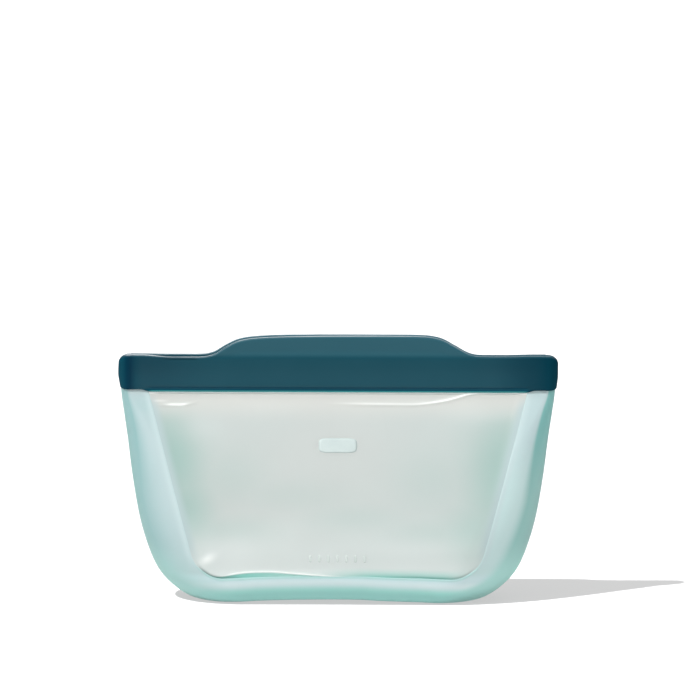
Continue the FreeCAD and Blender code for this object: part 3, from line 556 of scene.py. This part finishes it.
def build_border():
    E, k1, k2 = window_path(44, 22, 76)
    ns = 46
    outer = rows_of(E, k1, k2, 0.0, 0.0, ns, 94.3)
    inner = rows_of(E, k1, k2, 2.4, 2.2, ns, 94.3)
    # standing ring: the underside is lifted inside it
    flat = outer[:, :, 2] < 0.02
    a, b = 60.0, 23.0
    d = b - np.sqrt(np.clip(np.abs(outer[:, :, 0]) - (a - b), 0, None) ** 2 + outer[:, :, 1] ** 2)
    outer[:, :, 2] = np.where(flat, 0.8 * smooth(d, 4.0, 5.4), outer[:, :, 2])

    def whole(half):
        mirror_y = half[:, -2::-1, :] * np.array([1, -1, 1])
        full = np.concatenate([half, mirror_y], axis=1)
        left = full[:0:-1] * np.array([-1, 1, 1])
        return np.concatenate([left, full], axis=0)

    o, i = whole(outer), whole(inner)
    for g in (o, i):
        g[:, :, 2] += lift(g[:, :, 0], g[:, :, 2])
    nu, nv = o.shape[:2]
    # round the edge that borders the thin wall, front and rear: extra rows between outer and inner
    def rim(side):
        j = 0 if side == 0 else nv - 1
        jn = 1 if side == 0 else nv - 2
        oo, ii = o[:, j], i[:, j]
        inward = o[:, jn] - oo
        inward /= np.linalg.norm(inward, axis=1)[:, None]
        mid = (oo + ii) / 2
        half = (oo - ii) / 2
        out = []
        for a in np.linspace(0, math.pi, 9)[1:-1]:
            out.append(mid + half * math.cos(a) - inward * np.linalg.norm(half, axis=1)[:, None] * 0.9 * math.sin(a))
        return out
    front, rear = rim(0), rim(1)
    # ring of columns: front rim (inner to outer), outer, rear rim (outer to inner), inner back again
    cols = [c for c in front[::-1]] + [o[:, j] for j in range(nv)] + rear + [i[:, j] for j in range(nv - 1, -1, -1)]
    ring = np.stack(cols, axis=1)
    nu, nc = ring.shape[:2]
    faces = grid_faces(nu, nc, wrap_v=True)
    verts = list(ring.reshape(-1, 3))
    # close the two top ends with strips between the outer and inner columns
    nf, nr = len(front), len(rear)
    for row in (0, nu - 1):
        base = row * nc
        for j in range(nv - 1):
            a = base + nf + j
            b = base + nf + j + 1
            c = base + nf + nv + nr + (nv - 1 - (j + 1))
            d2 = base + nf + nv + nr + (nv - 1 - j)
            faces.append((a, b, c, d2))
        fr = [base + nf] + [base + k for k in range(nf - 1, -1, -1)] + [base + nc - 1]
        faces.append(tuple(fr))
        rr = [base + nf + nv - 1] + [base + nf + nv + k for k in range(nr)] + [base + nf + nv + nr]
        faces.append(tuple(rr))
    # how near a point is to the window's edge, where the border is painted a pale highlight
    gap = np.abs(ring[:, :, 0]) - win_half(ring[:, :, 2])
    near_side = smooth(gap, 3.4, 0.2) * smooth(ring[:, :, 2], 14.0, 24.0)
    level = ring[:, :, 2]
    for _ in range(4):
        level = ring[:, :, 2] - lift(ring[:, :, 0], level)
    # painted shade: mask for the darker band along the window's lower edge
    foot = smooth(window_floor(ring[:, :, 0]) - level, 1.0, -0.2) * smooth(np.abs(ring[:, :, 0]), 66.0, 56.0) * smooth(level, 22.0, 16.0)
    obj = make_object("gusset_border", verts, faces, BORDER, {"rim": near_side.reshape(-1), "level": level.reshape(-1) * MM, "foot": foot.reshape(-1)})
    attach(obj, "bag")
    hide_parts("base_gusset", "left_side_gusset", "right_side_gusset")
    return obj


# ------------------------------------------------------------------ thin walls
def groove_height(x):
    """Height of the fold just above the base band: it opens beside the left corner and closes towards the middle."""
    f = pchip([-62, -56, -50.5, -44, -38.6, -29.5, -20.4, -8.9, 0, 8], [0.0, 0.9, 1.7, 2.6, 2.9, 2.8, 2.0, 1.0, 0.4, 0.0])
    return np.where((x > -62) & (x < 8), f(x), 0.0)


def window_floor(x):
    """Height of the window's lower edge at x, with its rounded corners."""
    lean = math.atan((WIN_TOP_HALF - WIN_LOW_HALF) / (WIN_TOP - WIN_LOW))
    cz = WIN_LOW + WIN_R
    cx = float(win_half(cz)) - WIN_R / math.cos(lean)
    t = np.clip(np.abs(x) - cx, 0, WIN_R - 0.01)
    return cz - np.sqrt(WIN_R**2 - t * t)


def edge_distance(x, z):
    """Distance from the window's edge, measured square to it, near its lower side and lower corners."""
    lean = math.atan((WIN_TOP_HALF - WIN_LOW_HALF) / (WIN_TOP - WIN_LOW))
    cz = WIN_LOW + WIN_R
    cx = float(win_half(cz)) - WIN_R / math.cos(lean)
    t, drop = np.clip(np.abs(x) - cx, 0, None), np.clip(cz - z, 0, None)
    corner = WIN_R - np.sqrt(t * t + drop * drop)
    return np.where(z > cz, (win_half(z) - np.abs(x)) * math.cos(lean), corner)


def wall_shape(x, z, side):
    """Outward displacement of a wall's outer face, its tint (partly painted shade), its painted highlights (gleam) and
    its painted crease shade.
    """
    flip = 1.0 if side < 0 else -1.0
    xs = x * flip
    seed = 1 if side < 0 else 2
    edge_d = win_half(z) - np.abs(x)
    inside = smooth(edge_d, 2.0, 16.0) * smooth(z, WIN_LOW + 3, WIN_LOW + 20) * smooth(z, 92.0, 80.0)
    d = inside * (0.75 * wave(x, z, 42.0, seed) + 0.14 * wave(x, z, 15.0, seed + 5))
    # fold under the lip: a fine ridge that rises towards one end and runs in under the lip
    rise = pchip([-20, 20, 33, 40, 48, 58, 65, 75, 90], [0.6, 0.3, 0.25, 0.8, 2.0, 4.7, 6.7, 9.0, 10.0])
    zr = 86.8 + rise(np.clip(xs, -20, 90))
    run = smooth(xs, -8.0, 20.0) * smooth(xs, 80.0, 74.0) * smooth(z, 93.0, 92.0)
    ridge = np.exp(-((z - zr) / 0.75) ** 2) * run
    d = d + 0.42 * ridge
    zl = 86.6 + 0.02 * np.clip(xs + 71, 0, 9) ** 2
    run2 = smooth(xs, -78.5, -73) * smooth(xs, -65, -69.5)
    ridge2 = np.exp(-((z - zl) / 0.7) ** 2) * smooth(xs, -82, -75) * smooth(xs, -60, -68)
    d = d + 0.32 * ridge2
    # painted highlights along the two ridges under the lip, and a fainter one beside the left ridge
    gleam = 0.85 * np.exp(-((z - zr - 0.25) / 0.42) ** 2) * run * (0.55 + 0.45 * smooth(xs, 30.0, 50.0))
    gleam = gleam + 0.85 * np.exp(-((z - zl - 0.2) / 0.42) ** 2) * run2
    gleam = gleam + 0.3 * np.exp(-((z - zl - 1.8) / 0.5) ** 2) * smooth(xs, -83, -80) * smooth(xs, -74, -79)
    # painted highlight: a pale line where the wall leaves the lip
    gleam = gleam + 0.85 * np.exp(-((z - RIM_LOW - 0.0) / 0.45) ** 2)
    # fold just above the base band, tinted teal: partly the thicker silicone seen in it, partly painted shade
    h = groove_height(xs)
    hh = np.maximum(h, 0.3)
    base = window_floor(xs)
    u = (z - base) / hh
    k = np.clip(h / 1.1, 0, 1)
    groove = np.where(h > 0.01, smooth(u, 1.2, 0.8) * k, 0.0)
    d = d - 0.26 * groove
    crest_at = base + h * 1.12 + 0.1
    d = d + 0.16 * np.exp(-((z - crest_at) / 0.7) ** 2) * k
    # painted highlight along the fold's crest
    line = np.exp(-((z - crest_at) / 0.36) ** 2) * smooth(xs, -53, -45) * smooth(xs, 6, -10)
    gleam = gleam + line
    # towards the right corner the wall rounds in under the border, more and more green as it goes: partly the thicker
    # silicone seen there, partly painted shade
    away = edge_distance(xs, z)
    turn_in = np.clip(1 - (away - 0.9) / 4.4, 0, 1) ** 1.35 * smooth(xs, -14, 22) * smooth(xs, 60, 46)
    d = d - 0.24 * turn_in
    tint = groove * (0.72 + 0.28 * smooth(xs, -20, -45)) + 0.95 * turn_in
    # dimple beside the lower corner, with a painted highlight on it
    spot = np.exp(-(((xs + 57.5) / 3.4) ** 2 + ((z - 20.5 - 0.45 * (xs + 57.5)) / 2.0) ** 2))
    d = d + 0.35 * spot
    gleam = gleam + 0.5 * spot
    # painted shade: a dark crease along the window's lower corners, in a shallow dip
    hollow = 0.7 * smooth(xs, -64, -58) * smooth(xs, -40, -50) + 0.5 * smooth(xs, 16, 42) * smooth(xs, 65, 54)
    crease = hollow * np.exp(-(np.clip(away - 0.9, 0, None) / 0.65) ** 2) * smooth(z, 22.0, 15.0)
    d = d - 0.2 * crease
    return d, np.clip(tint, 0, 1), np.clip(gleam, 0, 1), crease


FIELDS = {
    # painted shade: greenish patches on the wall; painted light: pale patches where the wall catches light
    "shade": [(-72, 66, 15, 19, 0.62), (-66, 40, 12, 16, 0.5), (-47, 32.5, 20, 6.5, 0.4), (69, 62, 15, 24, 0.55), (43, 31, 22, 6, 0.42),
              (7, 38, 22, 6, 0.25), (58, 30, 14, 12, 0.6), (-48, 56, 16, 12, 0.25), (-20, 48, 26, 7, 0.18), (42, 54, 18, 13, 0.2)],
    "glow": [(-49, 23, 17, 6, 0.9), (28, 24.5, 24, 5, 0.55), (-10, 22, 24, 5, 0.5), (-60, 78, 10, 7, 0.35), (62, 84, 14, 5, 0.3)],
}


def field(name, x, z, side):
    xs = x * (1.0 if side < 0 else -1.0)
    out = np.zeros(np.broadcast(x, z).shape)
    for cx, cz, rx, rz, k in FIELDS[name]:
        out = np.maximum(out, k * np.exp(-((xs - cx) / rx) ** 2 - ((z - cz) / rz) ** 2)) + 0.25 * np.minimum(
            out, k * np.exp(-((xs - cx) / rx) ** 2 - ((z - cz) / rz) ** 2))
    return np.clip(out, 0, 1)


def wall_inset(x, z):
    """The wall is thinner than the border, and comes level with it at the border's edge."""
    side_near = smooth(win_half(z) - np.abs(x), 6.0, 0.5)
    low_near = smooth(z, WIN_LOW + 5.0, WIN_LOW + 0.5)
    return 0.5 - 0.42 * np.maximum(side_near, low_near)


def build_wall(side):
    name = "front_wall_panel" if side < 0 else "rear_wall_panel"
    nx = 281
    u = np.linspace(-1, 1, nx)
    z = np.concatenate([np.linspace(WIN_LOW - 2.2, WIN_LOW + 6, 32, endpoint=False), np.linspace(WIN_LOW + 6, 82, 66, endpoint=False),
                        np.linspace(82, 94.4, 50)])
    nz = len(z)
    half = win_half(z) + 2.0
    X = u[:, None] * half[None, :]
    Z = np.broadcast_to(z[None, :], X.shape)
    d, tint, gleam, crease = wall_shape(X, Z, side)
    Yo = depth_at(X, Z, 0.0) - wall_inset(X, Z) + d
    Yi = np.maximum(depth_at(X, Z, 1.7) + d, 0.5)
    Yo = np.maximum(Yo, Yi + 0.3)
    Zl = Z + lift(X, Z)
    outer = np.stack([X, side * Yo, Zl], -1).reshape(-1, 3)
    inner = np.stack([X, side * Yi, Zl], -1).reshape(-1, 3)
    verts = np.concatenate([outer, inner])
    gap = win_half(Z) - np.abs(X)
    # painted shade, greenish, towards the wall's side edges
    edge = 0.36 * smooth(gap, 22.0, 2.0) * smooth(Z, 92.0, 78.0)
    shade = np.clip(edge + field("shade", X, Z, side), 0, 1)
    # painted highlight: mask for the pale band along the wall's side edges
    near = 0.9 * smooth(gap, 5.0, 0.5) * smooth(Z, 16.0, 30.0) * smooth(Z, 93.0, 84.0)
    attrs = {"tint": tint, "gleam": gleam, "crease": crease, "shade": shade, "glow": field("glow", X, Z, side), "rim": near}
    attrs = {k: np.tile(v.reshape(-1), 2) for k, v in attrs.items()}
    obj = make_object(name, verts, sheet_faces(nx, nz), WALL, attrs)
    co = coords(obj)
    blended(obj, open_wall(co[:, 0], co[:, 2]))
    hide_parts("front_wall" if side < 0 else "rear_wall")
    return obj


# ------------------------------------------------------------------ lips
# The tab's outline, as a part of its full rise: its left shoulder is softer than its right one.
TAB_LINE = pchip([-62.5, -59.5, -55.8, -50.1, -44.4, -38.7, -33.0, -27.0, -18.0, 0.0, 31.0, 39.3, 42.2, 45.0, 47.9, 50.7, 53.6, 56.4, 59.3, 62.1, 64.6],
                 [0.0, 0.02, 0.11, 0.47, 0.765, 0.885, 0.935, 0.965, 0.985, 1.0, 0.995, 0.965, 0.925, 0.855, 0.73, 0.56, 0.38, 0.20, 0.07, 0.012, 0.0])


def tab_rise(x, side):
    return (TAB_TOP - RIM_TOP) * TAB_LINE(np.clip(x, -62.5, 64.6))


def lip_profile(side, x):
    """Closed outline of a lip in the Y-Z plane at x, starting at its foot and going up the outer face."""
    rise = float(tab_rise(x, side))
    k = rise / (TAB_TOP - RIM_TOP)
    # the two lips don't close quite level: the rear one stands a little prouder towards one end
    if side < 0:
        on_rim, on_tab = -0.85 + 0.5 * float(smooth(x, -30.0, 30.0)), -0.30 + 0.2 * float(smooth(x, -30.0, 20.0))
    else:
        on_rim, on_tab = -0.15 - 0.15 * float(smooth(x, 0.0, 60.0)), 0.05
    settle = on_rim + (on_tab - on_rim) * k
    top = RIM_TOP + rise + settle * float(smooth(88.0 - abs(x), 0.0, 14.0))
    tuck = 0.25 if abs(x) > 92.45 else 0.0
    out = LIP_OUT - tuck
    top -= tuck
    # the bead under the lip fades out before the ends
    low = RIM_LOW + 0.3 + 1.0 * float(smooth(abs(x), 83.5, 88.0))
    fade = float(smooth(abs(x), 82.5, 86.0))
    pts = []
    # flange and bead
    bead = [(4.62, 0.18), (4.74, 0.5), (4.74, 1.2), (4.66, 1.6), (4.56, 1.8), (4.60, 1.92), (4.80, 2.08), (5.02, 2.3)]
    pts += [(0.35, low), (1.6, low), (3.2, low), (4.35, low)]
    pts += [(y + fade * (out - 0.02 - 0.3 * math.exp(-3.0 * up) - y), low + up) for y, up in bead]
    pts.append((out, low + 2.7))
    # outer face up to the shoulder
    for z in np.linspace(low + 3.4, RIM_TOP - 2.0, 9):
        pts.append((out, z))
    # tab face leans back a little above the shoulder
    face_top = out - 0.62 * k
    r = 0.85
    z0, z1 = RIM_TOP - 1.4, top - r
    for i, t in enumerate(np.linspace(0, 1, 9)):
        zz = z0 + t * (z1 - z0)
        lean = smooth(t, 0.0, 0.35) * (out - face_top)
        pts.append((out - lean, zz))
    for a in np.linspace(0.18, math.pi / 2, 6):
        pts.append((face_top - r + r * math.cos(a), top - r + r * math.sin(a)))
    inner_r = 0.55
    inner_face = 0.16
    for a in np.linspace(math.pi / 2, 0, 5):
        pts.append((inner_face + inner_r - inner_r * math.cos(a), top - inner_r + inner_r * math.sin(a)))
    # inner face, with the seat for its half of the seal
    s_lo, s_hi = (RIB_LOW, RIB_HIGH) if side < 0 else (TRACK_LOW, TRACK_HIGH)
    depth = 1.06 if side < 0 else 2.52
    for z in np.linspace(top - inner_r - 0.6, s_hi + 0.9, 7):
        pts.append((inner_face, z))
    pts += [(inner_face, s_hi + 0.12), (inner_face + 0.12, s_hi + 0.06), (depth, s_hi + 0.06), (depth, s_lo - 0.06),
            (inner_face + 0.12, s_lo - 0.06), (inner_face, s_lo - 0.12)]
    for z in np.linspace(s_lo - 0.8, low + 0.8, 6):
        pts.append((inner_face, z))
    pts.append((inner_face + 0.05, low + 0.25))
    return [(side * y, z) for y, z in pts]


def sweep(name, xs, profile, material):
    rings = [profile(x) for x in xs]
    n = len(rings[0])
    verts = [(x, y, z) for x, ring in zip(xs, rings) for y, z in ring]
    faces = grid_faces(len(xs), n, wrap_v=True)
    faces.append(tuple(range(n)))
    faces.append(tuple((len(xs) - 1) * n + k for k in range(n)))
    return make_object(name, verts, faces, material)


def mark_sharp(obj, degrees):
    """Keeps crisp moulded edges crisp, and lets the rest shade smoothly."""
    bm = bmesh.new()
    bm.from_mesh(obj.data)
    for e in bm.edges:
        if len(e.link_faces) == 2 and e.calc_face_angle(0.0) > math.radians(degrees):
            e.smooth = False
    bm.to_mesh(obj.data)
    bm.free()


def along(n, end):
    """Stations along the lip, evenly spaced."""
    x = np.linspace(-end, end, n)
    return x


def build_lip(side):
    word = "front" if side < 0 else "rear"
    xs = along(321, 92.4)
    xs = np.concatenate([[-93.2, -92.5], xs, [92.5, 93.2]])
    obj = sweep(word + "_lip_band", xs, lambda x: lip_profile(side, x), CLOSURE)
    mark_sharp(obj, 50)
    co = coords(obj)
    blended(obj, open_x(co[:, 0]))
    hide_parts(word + "_lip_centre", word + "_lip_left", word + "_lip_right")
    return obj


def rounded_outline(points, r=0.12, n=3):
    """Rounds each corner of a closed outline."""
    out = []
    m = len(points)
    for i in range(m):
        p0, p, p1 = (np.array(points[k % m], float) for k in (i - 1, i, i + 1))
        d0, d1 = p0 - p, p1 - p
        l0, l1 = np.linalg.norm(d0), np.linalg.norm(d1)
        rr = min(r, 0.45 * l0, 0.45 * l1)
        a, b = p + d0 / l0 * rr, p + d1 / l1 * rr
        for t in np.linspace(0, 1, n + 1):
            q = (1 - t) ** 2 * a + 2 * t * (1 - t) * p + t * t * b
            out.append(tuple(q))
    return out


def build_strip(name, outline, nodes, material, end=91.5, n=161):
    outline = rounded_outline(outline)
    xs = np.linspace(-end, end, n)
    obj = sweep(name, xs, lambda x: outline, material)
    mark_sharp(obj, 50)
    co = coords(obj)
    blended(obj, open_x(co[:, 0]))
    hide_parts(*nodes)
    return obj


def build_strips():
    three = lambda stem: [stem + "_" + w for w in ("centre", "left", "right")]
    for side, word in ((-1, "front"), (1, "rear")):
        a, b = side * STIFF_OUT, side * STIFF_IN
        build_strip(word + "_stiffener_strip",
                    [(a, STIFF_LOW), (b, STIFF_LOW), (b, STIFF_HIGH), (a, STIFF_HIGH)],
                    three(word + "_stiffener"), STIFF)
    m = (RIB_LOW + RIB_HIGH) / 2
    root, face, tip, h = -1.0, -0.15, 1.3, 0.6
    ra, rb = m - 1.5, m + 1.5
    build_strip("front_seal_ribs",
                [(root, RIB_LOW), (face, RIB_LOW), (face, ra - h), (tip, ra - h + 0.15), (tip, ra + h - 0.15), (face, ra + h),
                 (face, rb - h), (tip, rb - h + 0.15), (tip, rb + h - 0.15), (face, rb + h), (face, RIB_HIGH), (root, RIB_HIGH)],
                three("front_seal_rib"), SEAL)
    back, face, floor, g = 2.45, 0.15, 1.6, 0.85
    build_strip("rear_seal_track",
                [(back, TRACK_LOW), (back, TRACK_HIGH), (face, TRACK_HIGH), (face, rb + g), (floor, rb + g), (floor, rb - g),
                 (face, rb - g), (face, ra + g), (floor, ra + g), (floor, ra - g), (face, ra - g), (face, TRACK_LOW)],
                three("rear_seal_track"), SEAL)


def build_end(sx):
    """End hinge: the two lips run into one rounded web."""
    word = "left" if sx < 0 else "right"
    near, far = END_NEAR + 0.02, RIM_END
    r_top, r_low, bottom, top = 3.6, 1.3, RIM_LOW + 1.25, RIM_TOP - 0.15
    heights = list(bottom + r_low * (1 - np.cos(np.linspace(0.12, math.pi / 2, 7))))
    heights += list(np.linspace(bottom + r_low + 0.8, top - r_top - 0.5, 12))
    heights += list(top - r_top + r_top * np.sin(np.linspace(0, math.pi / 2 - 0.05, 14)))
    rings = []
    for z in heights:
        x_end = far - (0.9 if sx < 0 else 0.6) * float(smooth(z, 100.0, bottom)) - (0.3 if sx < 0 else 0.0) * float(smooth(z, 101.0, top))
        far_z = x_end
        if z > top - r_top:
            x_end = far_z - r_top + math.sqrt(max(r_top**2 - (z - top + r_top) ** 2, 0))
        if z < bottom + r_low:
            x_end = far_z - r_low + math.sqrt(max(r_low**2 - (bottom + r_low - z) ** 2, 0))
        half = LIP_OUT
        rt = 0.9
        if z > top - rt:
            half = LIP_OUT - rt + math.sqrt(max(rt**2 - (z - top + rt) ** 2, 0))
        if z < bottom + 0.8:
            half = LIP_OUT - 0.55 * (1 - math.sqrt(max(1 - ((bottom + 0.8 - z) / 0.8) ** 2, 0)))
        ax = max(min(5.15, x_end - near - 0.9), 0.5)
        cx = x_end - ax
        edge = 0.16
        ring = [(near, -half + edge), (near + edge * 0.3, -half + edge * 0.3), (near + edge, -half)]
        for t in np.linspace(0.25, 1.0, 3):
            ring.append((near + edge + t * (cx - near - edge), -half))
        for a in np.linspace(-math.pi / 2, math.pi / 2, 25)[1:-1]:
            ring.append((cx + ax * math.cos(a), half * math.sin(a)))
        for t in np.linspace(1.0, 0.25, 3):
            ring.append((near + edge + t * (cx - near - edge), half))
        ring += [(near + edge, half), (near + edge * 0.3, half - edge * 0.3), (near, half - edge)]
        for t in np.linspace(0, 1, 8)[1:-1]:
            ring.append((near, (half - edge) * (1 - 2 * t)))
        rings.append([(sx * px, py, z) for px, py in ring])
    n = len(rings[0])
    verts = [p for ring in rings for p in ring]
    faces = grid_faces(len(rings), n, wrap_v=True)
    for row in (0, len(rings) - 1):
        c = np.mean(rings[row], axis=0)
        verts.append(tuple(c))
        k = len(verts) - 1
        for j in range(n):
            faces.append((row * n + j, row * n + (j + 1) % n, k))
    obj = make_object(word + "_end_web", verts, faces, CLOSURE)
    mark_sharp(obj, 55)
    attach(obj, "bag")
    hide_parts(word + "_end_hinge")


# ------------------------------------------------------------------ raised marks
def pad_on_wall(cx, cz, hw, hh, power, rise, n_ring=10, n_round=72):
    """Rounded raised pad that follows the front wall. Returns vertices and faces."""
    verts, faces = [], []
    rings = []
    for k in range(n_ring + 1):
        f = k / n_ring
        t = np.linspace(0, 2 * math.pi, n_round, endpoint=False)
        px = cx + hw * f * np.sign(np.cos(t)) * np.abs(np.cos(t)) ** (2 / power)
        pz = cz + hh * f * np.sign(np.sin(t)) * np.abs(np.sin(t)) ** (2 / power)
        d = wall_shape(px, pz, -1)[0]
        edge = rise * math.sqrt(max(1 - max((f - 0.86) / 0.14, 0) ** 2, 0))
        rings.append(np.stack([px, -(depth_at(px, pz, 0.5) + d + edge), pz], 1))
    px, pz = rings[-1][:, 0], rings[-1][:, 2]
    back = []
    for f in (1.0, 0.5):
        x2, z2 = cx + (px - cx) * f, cz + (pz - cz) * f
        d = wall_shape(x2, z2, -1)[0]
        back.append(np.stack([x2, -(depth_at(x2, z2, 0.5) + d - 0.35), z2], 1))
    centre = np.array([[cx, float(-(depth_at(cx, cz, 0.5) + wall_shape(np.array([cx]), np.array([cz]), -1)[0][0] + rise)), cz]])
    centre_b = centre + np.array([[0, rise + 0.35, 0]])
    all_rings = rings[1:] + back
    verts = np.array([centre[0]] + [p for r in all_rings for p in r] + [centre_b[0]])
    verts[:, 2] += lift(verts[:, 0], verts[:, 2])
    m = n_round
    for j in range(m):
        faces.append((0, 1 + j, 1 + (j + 1) % m))
    for k in range(len(all_rings) - 1):
        for j in range(m):
            a, b = 1 + k * m + j, 1 + k * m + (j + 1) % m
            faces.append((a, a + m, b + m, b))
    last = 1 + (len(all_rings) - 1) * m
    for j in range(m):
        faces.append((last + j, len(verts) - 1, last + (j + 1) % m))
    return verts, faces


def build_marks():
    lo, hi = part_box("label_patch")
    cx, cz = (lo.x + hi.x) / 2 / MM, (lo.z + hi.z) / 2 / MM
    hw, hh = (hi.x - lo.x) / 2 / MM, (hi.z - lo.z) / 2 / MM
    verts, faces = pad_on_wall(cx, cz, hw, hh, 5.0, 0.3)
    obj = make_object("label_patch_pad", verts, faces, PATCH)
    co = coords(obj)
    blended(obj, open_wall(co[:, 0], co[:, 2]))
    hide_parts("label_patch")
    lo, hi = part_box("level_bars")
    allv, allf = [], []
    for i in range(7):
        tall = 3.4
        v, f = pad_on_wall(-12.0 + 4.0 * i, lo.z / MM + tall / 2, 0.5, tall / 2, 4.0, 0.12, 6, 40)
        base = len(allv)
        allv += list(v)
        allf += [tuple(base + k for k in q) for q in f]
    obj = make_object("level_bar_marks", allv, allf, BARS)
    co = coords(obj)
    blended(obj, open_wall(co[:, 0], co[:, 2]))
    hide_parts("level_bars")


build_border()
build_wall(-1)
build_wall(1)
build_lip(-1)
build_lip(1)
build_strips()
build_end(-1)
build_end(1)
build_marks()

# ------------------------------------------------------------------ stage
def build_stage():
    mesh = bpy.data.meshes.new("floor")
    s = 30.0
    mesh.from_pydata([(-s, -s, 0), (s, -s, 0), (s, s, 0), (-s, s, 0)], [], [(0, 1, 2, 3)])
    floor = bpy.data.objects.new("floor", mesh)
    bpy.context.scene.collection.objects.link(floor)
    m = Nodes("floor_white")
    p = m.new("ShaderNodeBsdfDiffuse")
    p.inputs["Color"].default_value = (0.10, 0.10, 0.10, 1)
    glow = m.new("ShaderNodeEmission")
    glow.inputs["Strength"].default_value = 0.54
    both = m.new("ShaderNodeAddShader")
    m.link(p.outputs[0], both.inputs[0])
    m.link(glow.outputs[0], both.inputs[1])
    m.link(both.outputs[0], m.out.inputs["Surface"])
    mesh.materials.append(m.mat)

    world = bpy.data.worlds.new("studio")
    bpy.context.scene.world = world
    world.use_nodes = True
    t = world.node_tree
    t.nodes.clear()
    out = t.nodes.new("ShaderNodeOutputWorld")
    bg = t.nodes.new("ShaderNodeBackground")
    seen = t.nodes.new("ShaderNodeBackground")
    lp = t.nodes.new("ShaderNodeLightPath")
    mix = t.nodes.new("ShaderNodeMixShader")
    bg.inputs["Color"].default_value = (1.0, 1.0, 1.0, 1)
    # brighter overhead than at the horizon
    coord = t.nodes.new("ShaderNodeTexCoord")
    parts = t.nodes.new("ShaderNodeSeparateXYZ")
    up = t.nodes.new("ShaderNodeMapRange")
    up.interpolation_type = "SMOOTHSTEP"
    up.inputs["From Min"].default_value, up.inputs["From Max"].default_value = 0.0, 0.75
    up.inputs["To Min"].default_value, up.inputs["To Max"].default_value = 0.42, 0.86
    t.links.new(coord.outputs["Generated"], parts.inputs[0])
    t.links.new(parts.outputs[2], up.inputs["Value"])
    t.links.new(up.outputs["Result"], bg.inputs["Strength"])
    seen.inputs["Color"].default_value = (1.0, 1.0, 1.0, 1)
    seen.inputs["Strength"].default_value = 1.05
    t.links.new(lp.outputs["Is Camera Ray"], mix.inputs[0])
    t.links.new(bg.outputs[0], mix.inputs[1])
    t.links.new(seen.outputs[0], mix.inputs[2])
    t.links.new(mix.outputs[0], out.inputs["Surface"])

    sun = bpy.data.lights.new("key", "SUN")
    sun.energy = 2.3
    sun.angle = math.radians(1.0)
    key = bpy.data.objects.new("key", sun)
    bpy.context.scene.collection.objects.link(key)
    key.rotation_euler = Vector((0.565, 0.43, -1.0)).to_track_quat("-Z", "Y").to_euler()

    # a second sun along the first one, for the floor alone, keeps its white and its shadow even
    only = bpy.data.collections.new("floor_only")
    only.objects.link(floor)
    second = bpy.data.lights.new("floor_key", "SUN")
    second.energy = 24.0
    second.angle = sun.angle
    wash = bpy.data.objects.new("floor_key", second)
    wash.rotation_euler = key.rotation_euler
    bpy.context.scene.collection.objects.link(wash)
    wash.light_linking.receiver_collection = only

    def softbox(name, at, to, size, power):
        light = bpy.data.lights.new(name, "AREA")
        light.shape = "RECTANGLE"
        light.size, light.size_y = size
        light.energy = power
        o = bpy.data.objects.new(name, light)
        o.location = at
        o.rotation_euler = (Vector(to) - Vector(at)).to_track_quat("-Z", "Y").to_euler()
        bpy.context.scene.collection.objects.link(o)

    softbox("overhead", (-0.15, -0.35, 0.9), (0, 0, 0.08), (0.9, 0.25), 2.5)
    softbox("rear_fill", (0.25, 1.3, 0.55), (0, 0, 0.06), (1.2, 0.7), 9.0)


def build_camera():
    cam = bpy.data.cameras.new("camera")
    cam.sensor_width = 36.0
    d, e = 3.0, math.radians(6.5)
    cam.lens = 36.0 * d / 0.3090
    cam.clip_end = 100.0
    target = Vector((0.0039, 0.0, 0.1121))
    o = bpy.data.objects.new("camera", cam)
    o.location = target + Vector((0, -d * math.cos(e), d * math.sin(e)))
    aim = (target - o.location).to_track_quat("-Z", "Y")
    o.rotation_euler = (aim @ Quaternion((0, 0, 1), math.radians(0.2))).to_euler()
    bpy.context.scene.collection.objects.link(o)
    bpy.context.scene.camera = o


build_stage()
build_camera()
scene = bpy.context.scene
scene.view_settings.view_transform = "Standard"
scene.view_settings.look = "None"
scene.cycles.max_bounces = 12
scene.cycles.transparent_max_bounces = 12
scene.cycles.caustics_reflective = False
scene.cycles.caustics_refractive = False

bpy.context.view_layer.update()
